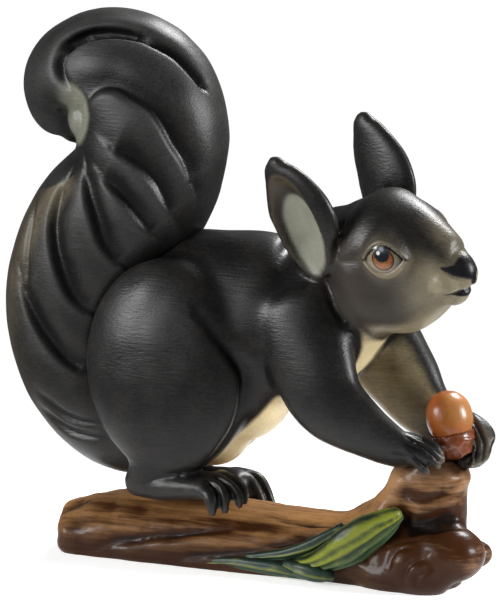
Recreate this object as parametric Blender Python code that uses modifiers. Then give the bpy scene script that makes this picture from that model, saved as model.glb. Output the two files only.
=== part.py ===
"""A carved and painted wooden squirrel on its log, about 190 mm tall, in metres with +Z up.

The squirrel faces +X and its left side is +Y. The origin is on the flat underside of the log, below
the middle of the body. Each form is a loft or an ellipsoid whose sizes stand in the tables below, in
millimetres. The forms are fused into one smooth body, which is then parted with thin cuts into the
pieces that a person would name. The head has its own frame, turned towards the right and tilted.
"""

import math

import bmesh
import bpy
import numpy as np
from mathutils import Euler, Matrix, Vector

MM = 0.001
GAP = 0.3  # between pieces that touch, and the width of each parting cut
ACROSS = (0.0, 1.0, 0.0)

# ---------------------------------------------------------------- sizes, in millimetres
# A station of a loft is (x, y, z, half width, half depth), the width lying along the loft's side axis.
# The paired forms stand for the right side, whose y is negative, unless their names say left.

TRUNK = [
    (-44, 0, 66, 14, 17),
    (-34, 0, 72, 20, 31),
    (-14, 0, 78, 22, 38),
    (4, 0, 84.4, 21, 31.9),
    (20, 0, 86.6, 18.5, 26.4),
    (33, -1, 94, 16, 20.5),
    (44, -2, 101, 14, 17),
]
BELLY = {"centre": (-16.5, 0, 46), "radii": (15, 13, 13.5), "turn": (0, 0, 0)}
HAUNCH = {"centre": (-25, -16, 69), "radii": (31, 13, 38), "turn": (0, 0, 0)}
SHIN = [
    (-20, -15, 45, 7, 12),
    (-30, -14.5, 36, 7, 9),
    (-36, -14, 29, 6, 6.5),
]
FOOT = [
    (-38, -14, 28, 5.5, 5.5),
    (-28, -14, 27.5, 6.5, 5.5),
    (-17, -14.5, 28.5, 7.5, 5),
    (-9, -15, 29, 8.5, 4.5),
]
TOES = [
    # root, knuckle, bend, tip
    ((-10, -20.5, 28.5), (-6.5, -22.5, 27.5), (-5.5, -23, 24.5), (-5.5, -22.5, 21.2)),
    ((-9, -17.5, 30), (-4, -19.3, 29), (-2, -20, 25.8), (-2, -20, 22)),
    ((-8.5, -14, 31), (-2.5, -15.8, 30), (1.2, -16.3, 27), (1.8, -16.3, 23.3)),
    ((-8, -10.8, 31), (-2, -12, 30.3), (1.2, -12.3, 27.3), (1.8, -12.3, 23.8)),
]
TOES_LEFT = [
    ((-19, 15.5, 25), (-10, 14.8, 25.2), (-6, 14.5, 21.5), (-3.3, 14.2, 17.2)),
    ((-17, 20, 25), (-8, 19, 24.6), (-3.8, 18, 20.4), (-1, 17.4, 15.0)),
]
TOE_RADII = (3.0, 2.5, 2.1, 1.4)
SOLE_LEFT = {"centre": (-14, 15, 20.5), "radii": (8, 6.5, 4.5), "turn": (0, 0, 0)}
LEFT_FOOT_SHIFT = (-3, 0, -5)  # the left foot stands lower, on the far side of the log
ARM_RIGHT = [
    (20, -12, 92, 9.5, 17),
    (27.3, -15, 75.6, 9, 16),
    (34.6, -16, 62, 8.5, 13.4),
    (46.5, -15.5, 52.8, 7, 10.1),
    (56, -13.5, 47.6, 6.2, 7.9),
    (62, -12.5, 45.8, 6.2, 5.8),
]
ARM_LEFT = [
    (25, 11, 92, 9.5, 16),
    (37.5, 14, 79, 9, 16.5),
    (47.2, 14.5, 68, 8, 14.4),
    (55.8, 13.5, 58, 6.5, 11.5),
    (63.2, 12.5, 52.8, 5.8, 9),
    (69, 12, 51.2, 5.5, 7.5),
]
PALM_LEFT = [
    (67, 12.5, 51.6, 5, 6.5),
    (73, 12, 50.2, 4.5, 7.2),
    (78, 9.5, 49.2, 3.2, 6.6),
    (79.6, 6.8, 47, 2.8, 6.4),
]
FINGERS_RIGHT = [
    # root, knuckle, bend, tip
    ((58, -16, 46), (65, -16.3, 43.2), (68, -16, 41.2), (70.2, -15.2, 39.6)),
    ((59, -15, 48.5), (67.5, -15, 46.6), (71.3, -14, 44), (73, -12.8, 42)),
    ((59, -12.5, 50.5), (67.3, -12.6, 49.4), (71.6, -11.8, 47.2), (73.6, -10.6, 44.6)),
    ((58.5, -10, 50.5), (66, -10.3, 50.2), (70, -10.2, 48.9), (72.6, -9.8, 46.4)),
]
FINGERS_LEFT = [
    ((73, 11.5, 55.2), (78.2, 8.5, 54), (82.6, 6, 48.6), (82.8, 4.5, 43.6)),
    ((74, 9, 54.7), (78.2, 6.2, 53.2), (81.6, 3.8, 48.2), (81.6, 2.4, 42.8)),
    ((74.5, 7, 53.2), (77.8, 4.2, 51.2), (80.2, 1.8, 47.2), (79.6, 0.6, 42)),
    ((80, 8, 47), (81.4, 6, 44), (79, 3.5, 41.6), (74.5, 1.2, 41.2)),
]
FINGER_RADII = (2.8, 2.2, 1.9, 1.3)
HEEL_LEFT = {"centre": (76.5, 4.5, 42.8), "radii": (5, 4, 2.6), "turn": (0, 0, 0)}  # of the left hand
TAIL = [
    (-34, 0, 44, 11, 14),
    (-50, 0, 44, 14, 17),
    (-64, 0, 56, 17, 20),
    (-70, 0, 74, 20, 23),
    (-67.8, 0, 92, 22, 25.8),
    (-57.5, 0, 111.2, 24, 27.5),
    (-43, 0, 127.8, 25, 26),
    (-38.4, 0, 145, 25, 26.6),
    (-42.8, 0, 159.6, 24, 26),
    (-54, 0, 166.4, 22, 22.8),
    (-66.8, 0, 161.8, 18.5, 20.8),
    (-70, 0, 154.6, 13.5, 15),
    (-66.2, 0, 148, 8.5, 7.6),
]
# Fills the pocket where the curl turns back on the rising tail.
CURL_FILL = {"centre": (-58, 0, 152), "radii": (9, 19, 10.5), "turn": (0, 0, 0)}
LOG = [
    (-67.4, -3, 2.8, 15.6, 11.6),
    (-62, -2.5, 4.5, 17.2, 12.5),
    (-48, -1, 6, 18, 15),
    (-22, 0, 6, 18.5, 16),
    (10, 0, 6, 17.5, 15),
    (36, 0, 6, 16.5, 15),
    (56, -1, 8, 17, 16),
]
STUMP = [
    (60, -1, -3, 16, 14),
    (62, -1, 6, 15, 15),
    (63.5, -1, 14, 13.5, 13.5),
    (64.5, 0, 22, 12.6, 13),
    (65, 0, 30, 12.2, 12.6),
    (66, 0, 36, 12, 12),
    (68.6, 0, 41.5, 11.5, 11.8),
]
FLARE = [
    # where the stump sweeps down into the log
    (25, 0, 14.5, 12, 5.5),
    (35, 0, 15.5, 12.5, 6),
    (43.5, 0, 18.5, 12.5, 7),
    (50.5, 0, 22.8, 12, 7.5),
    (56.3, 0, 29, 11.5, 7.8),
    (60, 0, 37, 11.5, 8),
]
ROOTS = [
    {"centre": (73.8, -8, 13.2), "radii": (14, 12, 10.2), "turn": (0, 4, -10)},
    {"centre": (65, -12, 8.5), "radii": (14.5, 10, 11), "turn": (0, 8, -8)},
    {"centre": (54, -13, 4.5), "radii": (13, 7, 7), "turn": (0, 0, -10)},
    {"centre": (76, 8, 9), "radii": (8, 6, 5.5), "turn": (0, 0, 20)},
    {"centre": (58, 13, 5), "radii": (15, 8, 9), "turn": (0, 0, 10)},
]
LEAVES = {
    "leaf_broad": [
        (59, -15.5, 25.8, 3.2, 2.6),
        (54.5, -17.5, 22.5, 5.8, 3.4),
        (49, -18.8, 18.8, 7.4, 3.8),
        (44, -19.4, 14.8, 7.6, 3.8),
        (38, -19.4, 10.8, 5.8, 3.3),
        (31.5, -19, 7.6, 3.8, 2.8),
        (24, -18, 5.6, 2.2, 2.0),
    ],
    "leaf_lower": [
        (37, -20, 3.6, 2.0, 2.0),
        (31.5, -20.5, 4.3, 3.2, 2.6),
        (26, -20, 5.0, 2.9, 2.5),
        (20.5, -18.8, 5.8, 1.5, 1.6),
    ],
    "leaf_narrow": [
        (27, -18.5, 2.9, 2.0, 1.8),
        (18, -18, 3.7, 2.7, 2.3),
        (8, -17.5, 4.0, 2.5, 2.2),
        (-2, -16.5, 3.8, 1.9, 1.8),
        (-12, -15.8, 2.7, 1.2, 1.3),
        (-18, -15, 1.9, 0.8, 0.9),
    ],
    "leaf_folded": [
        (40, -16.5, 19.8, 1.6, 1.8),
        (34, -17.2, 16.0, 2.4, 2.0),
        (28, -17.6, 12.2, 2.7, 2.0),
        (20, -17.6, 9.2, 2.2, 1.8),
        (12, -17.2, 7.5, 1.6, 1.5),
        (5, -16.6, 6.3, 0.9, 1.0),
    ],
}
ACORN_AT = (75.2, 0, 42)
ACORN_LEAN = -14.0  # degrees about Y
ACORN_CUP = [(0.4, 1.2), (4.6, 2.6), (6.7, 6.5), (7.1, 10.2)]  # radius, height
ACORN_NUT = [(6.5, 10.2), (7.6, 13), (7.8, 16.5), (6.8, 20.4), (4.2, 23.3), (1.0, 24.6)]

HEAD_AT = (44.5, -2, 116)
HEAD_YAW, HEAD_ROLL = -17.0, 14.0  # degrees
# These stand in the head's frame: x to the nose, y to its left, z to its crown.
HEAD = [
    (-16, 0, -4, 13, 14),
    (-9, 0, -5.5, 17, 18.8),
    (0, 0, -7, 19.5, 23.4),
    (10, 0, -7, 19.5, 25.3),
    (18, 0, -6.8, 16.8, 22.5),
    (25, 0, -6.8, 12.2, 18.3),
    (31, 0, -7.2, 8.5, 13.6),
    (35.6, 0, -8, 6.8, 9.5),
    (38.2, 0, -7.5, 5, 5.6),
]
CHEEK = {"centre": (4, -9, -14), "radii": (17, 11, 15), "turn": (0, 0, 0)}
BROW = {"centre": (14.5, -8.8, 2), "radii": (10, 7.4, 7.8), "turn": (0, 0, -20)}
CHIN = {"centre": (30.5, 0, -15.3), "radii": (6.6, 5.2, 4.8), "turn": (0, 0, 0)}
NOSE_PAD = {"centre": (36.2, 0, -4.4), "radii": (6, 4.5, 3.5), "turn": (0, 38, 0)}
LIP_PAD = {"centre": (31.7, -4.6, -9.8), "radii": (6.4, 5.0, 4.7), "turn": (0, 10, 0)}
EYE_AT, EYE_RADIUS = (14.0, -11.4, 0.4), 7.4
LEFT_EYE_INSET = 3.5  # the left eye and brow sit closer to the middle
EAR_RIGHT = [
    (-9, -16, -5, 9, 5),
    (-11.8, -18, 5, 12, 5),
    (-11.8, -19.5, 14, 14, 4.8),
    (-14, -21, 23, 11.9, 3.8),
    (-16.8, -22, 30.5, 6.8, 2.8),
    (-17.4, -22.4, 34, 3, 2),
]
EAR_LEFT = [
    (-3.5, 16, -5, 8.5, 5),
    (-6.4, 18, 5, 11.1, 5),
    (-7.8, 19.5, 14, 12.6, 4.6),
    (-12, 21, 23, 10.3, 3.7),
    (-15.5, 22, 31, 6, 2.8),
    (-16.2, 22.4, 34, 3.2, 2),
]
EAR_HOLLOW = {"centre": (-12.8, -26.4, 10.5), "radii": (10.8, 8.6, 21.5), "turn": (7, -10, 0)}
LEFT_EAR_SHIFT = 4.0  # how much further forward the left ear's hollow lies
LEAF_SIDE = (0.2, -0.55, 1.0)  # each leaf's width lies along this

# Where the parting cuts go. A box is a place, a turn about Y in degrees, and two corners measured
# from there, and its near face makes the cut. The rest are ellipsoids.
EAR_BOX_RIGHT = ((-8, 0, -4), 15.6, (-17, -60, -6), (15, -14.2, 60))
EAR_BOX_LEFT = ((-3.5, 0, -4), 15.6, (-17, 14.2, -6), (15, 60, 60))
HEAD_BALL = {"centre": (10, 0, -4), "radii": (38, 30, 32.5), "turn": (0, 0, 0)}
NECK_BALL = {"centre": (28, -1, 100), "radii": (19, 34, 20), "turn": (0, 0, 0)}
ARM_BOX_RIGHT = ((24, 0, 86), 33.5, (-14, -60, -110), (42, -5.5, 0))
ARM_BOX_LEFT = ((28, 0, 88), 37, (-13, 5.5, -110), (42, 60, 0))
HAND_BALL_RIGHT = {"centre": (67.5, -11, 46), "radii": (12, 13, 13), "turn": (0, 0, 0)}
HAND_BALL_LEFT = {"centre": (78.5, 8, 51), "radii": (13, 12, 17), "turn": (0, 0, 0)}
THIGH_BALL = {"centre": (-25, -20, 69), "radii": (31.5, 13, 38.5), "turn": (0, 0, 0)}
FOOT_BALL = {"centre": (-17, -15.5, 22.5), "radii": (34, 14, 14), "turn": (0, 0, 0)}
TAIL_RISE_BOX = ((-69, 0, 80), 10, (-80, -60, 0), (120, 60, 140))
TAIL_CURL_BOX = ((-50, 0, 136), -30, (-80, -60, 0), (120, 60, 120))
TAIL_TIP_BOX = ((-60, 0, 164), -90, (-60, -60, 0), (60, 60, 60))

GROUND = ((0, 0, -30), 0, (-200, -90, -30), (200, 90, 30))  # cut away under the log
VOXEL = 1.2  # spacing of the points while the forms are fused
NODE_TRIANGLES = {"body": 2300, "tail": 720, "log": 780}

CHARCOAL = "2f2e2d"
COLOURS = {
    "ear": "3a3733", "eye": "7a4a26", "log": "5a3a22", "leaf_broad": "6f8a2c", "leaf_lower": "46643a",
    "leaf_narrow": "6c8a4e", "leaf_folded": "3f5a3c", "acorn_nut": "b06a2c", "acorn_cup": "8a4a28",
}
ROUGHNESS = 0.42


# ---------------------------------------------------------------- modelling helpers


def eased(stations, per_span):
    """Points on one smooth (Catmull-Rom) curve through the stations, sizes and all."""
    rows = np.array(stations, float)
    padded = np.vstack([2 * rows[0] - rows[1], rows, 2 * rows[-1] - rows[-2]])
    found = []
    for i in range(1, len(rows)):
        a, b, c, d = padded[i - 1 : i + 3]
        for k in range(per_span):
            t = k / per_span
            bend = (2 * a - 5 * b + 4 * c - d) * t**2 + (3 * b - a - 3 * c + d) * t**3
            found.append(0.5 * (2 * b + (c - a) * t + bend))
    found.append(rows[-1])
    return np.array(found)


def ring_axes(centres, side):
    """The side, the normal and the tangent of a ring at each centre."""
    tangents = np.gradient(centres, axis=0)
    tangents /= np.linalg.norm(tangents, axis=1)[:, None]
    normals = np.cross(tangents, np.array(side, float))
    normals /= np.linalg.norm(normals, axis=1)[:, None]
    return np.cross(normals, tangents), normals, tangents


def matrix_of(x_axis, y_axis, z_axis, origin):
    return Matrix([[*row] for row in zip(x_axis, y_axis, z_axis, origin)] + [[0, 0, 0, 1]])


def loft(bm, stations, side=ACROSS, sides=20, per_span=4, cap=0.8):
    """Bridges rings along a smooth curve through the stations, and rounds both ends."""
    rows = eased(stations, per_span)
    across, normals, along = ring_axes(rows[:, :3], side)
    rings = [(row[:3], row[3:5], k) for k, row in enumerate(rows)]
    for end, sign in ((0, -1), (len(rows) - 1, 1)):
        reach = min(rows[end, 3:5]) * cap
        caps = []
        for angle in (30, 60, 86):
            turn = math.radians(angle)
            centre = rows[end, :3] + along[end] * sign * reach * math.sin(turn)
            caps.append((centre, rows[end, 3:5] * math.cos(turn), end))
        rings = caps[::-1] + rings if sign < 0 else rings + caps
    loops = []
    for centre, half, k in rings:
        matrix = matrix_of(across[k] * half[0] * MM, normals[k] * half[1] * MM, along[k], centre * MM)
        made = bmesh.ops.create_circle(bm, segments=sides, radius=1.0, matrix=matrix)
        loops.append(list({e for v in made["verts"] for e in v.link_edges}))
    for first, second in zip(loops, loops[1:]):
        bmesh.ops.bridge_loops(bm, edges=first + second)
    for loop in (loops[0], loops[-1]):
        bmesh.ops.contextual_create(bm, geom=loop)


def ellipsoid(bm, centre, radii, turn=(0, 0, 0), grow=0.0, detail=4):
    """An ellipsoid turned by Euler angles in degrees."""
    rotation = Euler([math.radians(v) for v in turn]).to_matrix().to_4x4()
    size = Matrix.Diagonal((*[(r + grow) * MM for r in radii], 1))
    matrix = Matrix.Translation(Vector(centre) * MM) @ rotation @ size
    bmesh.ops.create_icosphere(bm, subdivisions=detail, radius=1.0, matrix=matrix)


def turned_about_axis(bm, profile, sides=18):
    """A solid of revolution about Z from (radius, height) pairs."""
    rings = []
    for radius, height in profile:
        place = Matrix.Translation((0, 0, height * MM))
        made = bmesh.ops.create_circle(bm, segments=sides, radius=max(radius, 0.4) * MM, matrix=place)
        rings.append(list({e for v in made["verts"] for e in v.link_edges}))
    for first, second in zip(rings, rings[1:]):
        bmesh.ops.bridge_loops(bm, edges=first + second)
    for loop in (rings[0], rings[-1]):
        bmesh.ops.contextual_create(bm, geom=loop)


def mirrored(form, shift=(0, 0, 0)):
    """The same form on the other side of the plane y = 0, then moved."""
    i, j, k = shift
    if isinstance(form, dict):
        x, y, z = form["centre"]
        a, b, c = form["turn"]
        return {**form, "centre": (x + i, j - y, z + k), "turn": (-a, b, -c)}
    return [(x + i, j - y, z + k, *sizes) for x, y, z, *sizes in form]


def object_from(bm, name, where=None):
    bmesh.ops.recalc_face_normals(bm, faces=bm.faces)
    mesh = bpy.data.meshes.new(name)
    bm.to_mesh(mesh)
    bm.free()
    obj = bpy.data.objects.new(name, mesh)
    (where or bpy.context.scene.collection).objects.link(obj)
    return obj


def apply_modifiers(obj):
    bpy.context.view_layer.update()
    graph = bpy.context.evaluated_depsgraph_get()
    made = bpy.data.meshes.new_from_object(obj.evaluated_get(graph))
    obj.modifiers.clear()
    obj.data = made
    return obj


def fused(obj, voxel):
    """One closed skin round everything in the mesh."""
    remesh = obj.modifiers.new("fuse", "REMESH")
    remesh.mode = "VOXEL"
    remesh.voxel_size = voxel * MM
    return apply_modifiers(obj)


def corners_of(obj):
    co = np.empty(len(obj.data.vertices) * 3, np.float32)
    obj.data.vertices.foreach_get("co", co)
    return co.reshape(-1, 3).astype(float)


def set_corners(obj, co):
    obj.data.vertices.foreach_set("co", co.astype(np.float32).ravel())
    obj.data.update()


def relaxed(obj, reach, voxel):
    """Smooths away detail finer than about the reach, in millimetres: each round moves every
    vertex part of the way to the middle of its neighbours."""
    co = corners_of(obj)
    ends = np.empty(len(obj.data.edges) * 2, np.int32)
    obj.data.edges.foreach_get("vertices", ends)
    a, b = ends.reshape(-1, 2).T
    count = np.bincount(a, minlength=len(co)) + np.bincount(b, minlength=len(co))
    for _ in range(round((reach / voxel) ** 2)):
        total = [np.bincount(a, co[b, k], len(co)) + np.bincount(b, co[a, k], len(co)) for k in range(3)]
        co += 0.5 * (np.stack(total, axis=1) / count[:, None] - co)
    set_corners(obj, co)
    return obj


def grown(obj, amount):
    """A hidden copy whose surface lies this much further out."""
    mesh = obj.data.copy()
    copy = bpy.data.objects.new(obj.name + "_grown", mesh)
    cutters().objects.link(copy)
    normals = np.empty(len(mesh.vertices) * 3, np.float32)
    mesh.vertices.foreach_get("normal", normals)
    set_corners(copy, corners_of(copy) + normals.reshape(-1, 3) * amount * MM)
    return hidden(copy)


def thinned(obj, triangles):
    """Fewer, larger triangles, with the form kept."""
    obj.data.calc_loop_triangles()
    decimate = obj.modifiers.new("thin", "DECIMATE")
    decimate.ratio = min(1.0, triangles / len(obj.data.loop_triangles))
    decimate.use_collapse_triangulate = True
    return apply_modifiers(obj)


def cutters():
    found = bpy.data.collections.get("cutters")
    if not found:
        found = bpy.data.collections.new("cutters")
        found.hide_render = True
        bpy.context.scene.collection.children.link(found)
    return found


def hidden(obj):
    obj.hide_render = True
    obj.display_type = "WIRE"
    return obj


def boolean(obj, cutter, operation):
    cut = obj.modifiers.new(operation.lower(), "BOOLEAN")
    cut.operation = operation
    cut.object = cutter
    return apply_modifiers(obj)


def box(name, place, grow=0.0, frame=None):
    """A hidden box from one of the places above, made larger all round by the growth."""
    point, turn, low, high = place
    bm = bmesh.new()
    middle = (Vector(low) + Vector(high)) / 2 * MM
    size = Matrix.Diagonal((*[(b - a + 2 * grow) * MM for a, b in zip(low, high)], 1))
    stand = Matrix.Translation(Vector(point) * MM) @ Matrix.Rotation(math.radians(-turn), 4, "Y")
    matrix = (frame or Matrix.Identity(4)) @ stand @ Matrix.Translation(middle) @ size
    bmesh.ops.create_cube(bm, size=1.0, matrix=matrix)
    return hidden(object_from(bm, name, cutters()))


def part_off(body, name, region):
    """Makes the share of the body inside the region a piece of its own, a cut's width away."""
    piece = bpy.data.objects.new(name, body.data.copy())
    body.users_collection[0].objects.link(piece)
    boolean(piece, region(f"{name}_region", 0.0), "INTERSECT")
    boolean(body, region(f"{name}_clearance", GAP), "DIFFERENCE")
    return piece


def box_region(place, frame=None):
    return lambda name, grow: box(name, place, grow, frame)


def ball_region(form, frame=None):
    def make(name, grow):
        bm = bmesh.new()
        ellipsoid(bm, grow=grow, detail=2, **form)
        if frame:
            bmesh.ops.transform(bm, matrix=frame, verts=bm.verts)
        return hidden(object_from(bm, name, cutters()))

    return make


def head_frame():
    turn = Matrix.Rotation(math.radians(HEAD_YAW), 4, "Z") @ Matrix.Rotation(math.radians(HEAD_ROLL), 4, "X")
    return Matrix.Translation(Vector(HEAD_AT) * MM) @ turn


# ---------------------------------------------------------------- the forms


def body_masses():
    """The trunk, haunches, arms and skull, as overlapping lofts and ellipsoids."""
    bm = bmesh.new()
    for form in (BELLY, HAUNCH, mirrored(HAUNCH)):
        ellipsoid(bm, **form)
    for stations in (TRUNK, SHIN, mirrored(SHIN), ARM_RIGHT, ARM_LEFT):
        loft(bm, stations)
    head = bmesh.new()
    loft(head, HEAD)
    for form, inset in ((CHEEK, 0), (BROW, LEFT_EYE_INSET)):
        ellipsoid(head, **form)
        ellipsoid(head, **mirrored(form, (0, -inset, 0)))
    add_in_head_frame(bm, head)
    return object_from(bm, "body")


def add_in_head_frame(bm, part):
    bmesh.ops.transform(part, matrix=head_frame(), verts=part.verts)
    mesh = bpy.data.meshes.new("part")
    part.to_mesh(mesh)
    part.free()
    bm.from_mesh(mesh)


def ear_object(left):
    """One ear: a broad leaf of wood with a hollow scooped from its outer face."""
    bm = bmesh.new()
    loft(bm, EAR_LEFT if left else EAR_RIGHT, side=(1, 0, 0.3))
    ear = object_from(bm, "ear")
    bm = bmesh.new()
    ellipsoid(bm, **(mirrored(EAR_HOLLOW, (LEFT_EAR_SHIFT, 0, 0)) if left else EAR_HOLLOW))
    hollow = hidden(object_from(bm, "ear_hollow", cutters()))
    boolean(ear, hollow, "DIFFERENCE")
    ear.data.transform(head_frame())
    return ear


def small_forms(body):
    """Adds the feet, toes, hands, fingers, ears, nose, lips and chin to the body's masses."""
    bm = bmesh.new()
    for stations in (FOOT, mirrored(FOOT, LEFT_FOOT_SHIFT), PALM_LEFT):
        loft(bm, stations)
    for form in (SOLE_LEFT, HEEL_LEFT):
        ellipsoid(bm, **form)
    for toe in TOES + TOES_LEFT:
        loft(bm, [(*point, r, r) for point, r in zip(toe, TOE_RADII)], sides=12)
    for finger in FINGERS_RIGHT + FINGERS_LEFT:
        loft(bm, [(*point, r, r) for point, r in zip(finger, FINGER_RADII)], sides=12)
    face = bmesh.new()
    for form in (NOSE_PAD, CHIN, LIP_PAD, mirrored(LIP_PAD)):
        ellipsoid(face, **form)
    add_in_head_frame(bm, face)
    bm.from_mesh(body.data)
    for left in (False, True):
        ear = ear_object(left)
        bm.from_mesh(ear.data)
        bpy.data.objects.remove(ear)
    bpy.data.objects.remove(body)
    return object_from(bm, "body")


def squirrel_body():
    body = relaxed(fused(body_masses(), VOXEL), 4.2, VOXEL)
    return relaxed(fused(small_forms(body), VOXEL), 1.2, VOXEL)


def tail():
    bm = bmesh.new()
    loft(bm, TAIL, sides=28)
    ellipsoid(bm, **CURL_FILL)
    return relaxed(fused(object_from(bm, "tail"), VOXEL), 2.5, VOXEL)


def base():
    bm = bmesh.new()
    loft(bm, LOG, cap=0.3)
    loft(bm, STUMP, cap=0.25)
    loft(bm, FLARE, cap=0.3)
    for root in ROOTS:
        ellipsoid(bm, **root)
    made = relaxed(fused(object_from(bm, "log"), VOXEL), 3.4, VOXEL)
    return boolean(made, box("ground", GROUND), "DIFFERENCE")


def leaf(name):
    bm = bmesh.new()
    loft(bm, LEAVES[name], side=LEAF_SIDE, sides=8, per_span=1)
    return object_from(bm, name)


def acorn(name, profile):
    bm = bmesh.new()
    turned_about_axis(bm, profile)
    lean = Matrix.Rotation(math.radians(ACORN_LEAN), 4, "Y")
    bmesh.ops.transform(bm, matrix=Matrix.Translation(Vector(ACORN_AT) * MM) @ lean, verts=bm.verts)
    return object_from(bm, name)


def eye(name, sign):
    x, y, z = EYE_AT
    y += 0 if sign > 0 else LEFT_EYE_INSET
    bm = bmesh.new()
    ellipsoid(bm, (x, y * sign, z), (EYE_RADIUS,) * 3, detail=2)
    bmesh.ops.transform(bm, matrix=head_frame(), verts=bm.verts)
    return object_from(bm, name)


def part_the_body(body):
    """Cuts the squirrel at its joints. What is left at the end is the trunk."""
    head = head_frame()
    part_off(body, "ear_right", box_region(EAR_BOX_RIGHT, head))
    part_off(body, "ear_left", box_region(EAR_BOX_LEFT, head))
    part_off(body, "head", ball_region(HEAD_BALL, head))
    part_off(body, "neck", ball_region(NECK_BALL))
    part_off(body, "hand_right", ball_region(HAND_BALL_RIGHT))
    part_off(body, "hand_left", ball_region(HAND_BALL_LEFT))
    part_off(body, "arm_right", box_region(ARM_BOX_RIGHT))
    part_off(body, "arm_left", box_region(ARM_BOX_LEFT))
    part_off(body, "thigh_right", ball_region(THIGH_BALL))
    part_off(body, "thigh_left", ball_region(mirrored(THIGH_BALL)))
    part_off(body, "foot_right", ball_region(FOOT_BALL))
    part_off(body, "foot_left", ball_region(mirrored(FOOT_BALL, LEFT_FOOT_SHIFT)))
    body.name = "trunk"


def paint(obj):
    """A plain painted-wood colour for each piece, by its name."""
    key = obj.name.rsplit("_", 1)[0] if obj.name.endswith(("_left", "_right")) else obj.name
    code = COLOURS.get(key, CHARCOAL)
    material = bpy.data.materials.new(obj.name)
    material.use_nodes = True
    shader = material.node_tree.nodes["Principled BSDF"]
    shade = [(int(code[k : k + 2], 16) / 255) ** 2.2 for k in (0, 2, 4)]
    shader.inputs["Base Color"].default_value = (*shade, 1)
    shader.inputs["Roughness"].default_value = ROUGHNESS
    shader.inputs["Metallic"].default_value = 0.0
    obj.data.materials.clear()
    obj.data.materials.append(material)
    for face in obj.data.polygons:
        face.use_smooth = True
    obj.data.set_sharp_from_angle(angle=math.radians(38))


def main():
    for obj in list(bpy.data.objects):
        bpy.data.objects.remove(obj)
    body = thinned(squirrel_body(), NODE_TRIANGLES["body"])
    brush = thinned(tail(), NODE_TRIANGLES["tail"])
    log = thinned(base(), NODE_TRIANGLES["log"])
    leaves = [leaf(name) for name in LEAVES]
    cup = acorn("acorn_cup", ACORN_CUP)
    nut = acorn("acorn_nut", ACORN_NUT)

    for part in (cup, nut):
        boolean(body, grown(part, GAP), "DIFFERENCE")
    for side, sign in (("right", 1), ("left", -1)):
        boolean(body, grown(eye(f"eye_{side}", sign), GAP), "DIFFERENCE")
    body_clear = grown(body, GAP)
    boolean(brush, body_clear, "DIFFERENCE")
    boolean(log, body_clear, "DIFFERENCE")
    boolean(log, grown(cup, GAP), "DIFFERENCE")
    for k, part in enumerate(leaves):
        for other in leaves[:k]:
            boolean(part, grown(other, GAP), "DIFFERENCE")
        boolean(log, grown(part, GAP), "DIFFERENCE")

    part_the_body(body)
    rise = part_off(brush, "tail_rise", box_region(TAIL_RISE_BOX))
    curl = part_off(rise, "tail_curl", box_region(TAIL_CURL_BOX))
    part_off(curl, "tail_tip", box_region(TAIL_TIP_BOX))
    brush.name = "tail_root"

    squirrel = bpy.data.collections.new("carved_squirrel")
    bpy.context.scene.collection.children.link(squirrel)
    for obj in list(bpy.context.scene.collection.objects):
        bpy.context.scene.collection.objects.unlink(obj)
        squirrel.objects.link(obj)
        paint(obj)


main()
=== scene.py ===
"""The finish of a hand-carved, hand-painted wooden squirrel that leans over a stump to its acorn.

The squirrel faces +X and its left side is +Y, as in the frame. The sizes in the tables are in
millimetres. Each form is a loft or an ellipsoid, the forms are fused into one skin, and the skin is
then cut with grooves, creases and eyelids and painted by region, as the carver and painter would,
with painted shade added in its grooves and hollows.
"""

import math

import bmesh
import bpy
import numpy as np
from bpy.props import FloatProperty, FloatVectorProperty, PointerProperty
from bpy.types import Operator, Panel, PropertyGroup
from mathutils import Euler, Matrix, Vector, noise


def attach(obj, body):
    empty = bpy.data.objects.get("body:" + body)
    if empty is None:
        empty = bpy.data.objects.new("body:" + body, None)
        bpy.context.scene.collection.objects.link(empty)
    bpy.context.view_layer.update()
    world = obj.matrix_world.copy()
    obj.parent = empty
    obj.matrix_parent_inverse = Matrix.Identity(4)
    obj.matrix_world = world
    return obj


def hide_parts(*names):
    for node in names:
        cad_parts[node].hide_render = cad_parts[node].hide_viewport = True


bl_info = {
    "name": "Carved Wooden Squirrel",
    "version": (1, 0, 0),
    "blender": (4, 5, 0),
    "location": "View3D > Sidebar > Carving",
    "description": "Carves, paints and lights a wooden squirrel on its log",
    "category": "Object",
}

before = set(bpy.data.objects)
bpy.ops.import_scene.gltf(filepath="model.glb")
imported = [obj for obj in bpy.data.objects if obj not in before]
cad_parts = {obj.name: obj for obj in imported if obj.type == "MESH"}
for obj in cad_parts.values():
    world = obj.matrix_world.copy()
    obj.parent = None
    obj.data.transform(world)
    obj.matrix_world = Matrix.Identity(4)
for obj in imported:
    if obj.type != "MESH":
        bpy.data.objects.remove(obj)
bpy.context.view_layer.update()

MM = 0.001
ACROSS = (0.0, 1.0, 0.0)
SOLE_CUT = 0.1 * MM  # how much is planed off under the log
BODY_NODES = ("ear", "head", "neck", "hand", "arm", "thigh", "foot", "trunk")

# ---------------------------------------------------------------- sizes of the forms, in millimetres
# A station of a loft is (x, y, z, half width, half depth), the width lying along the loft's side axis.
# The paired forms stand for the right side, whose y is negative, unless their names say left.

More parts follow.
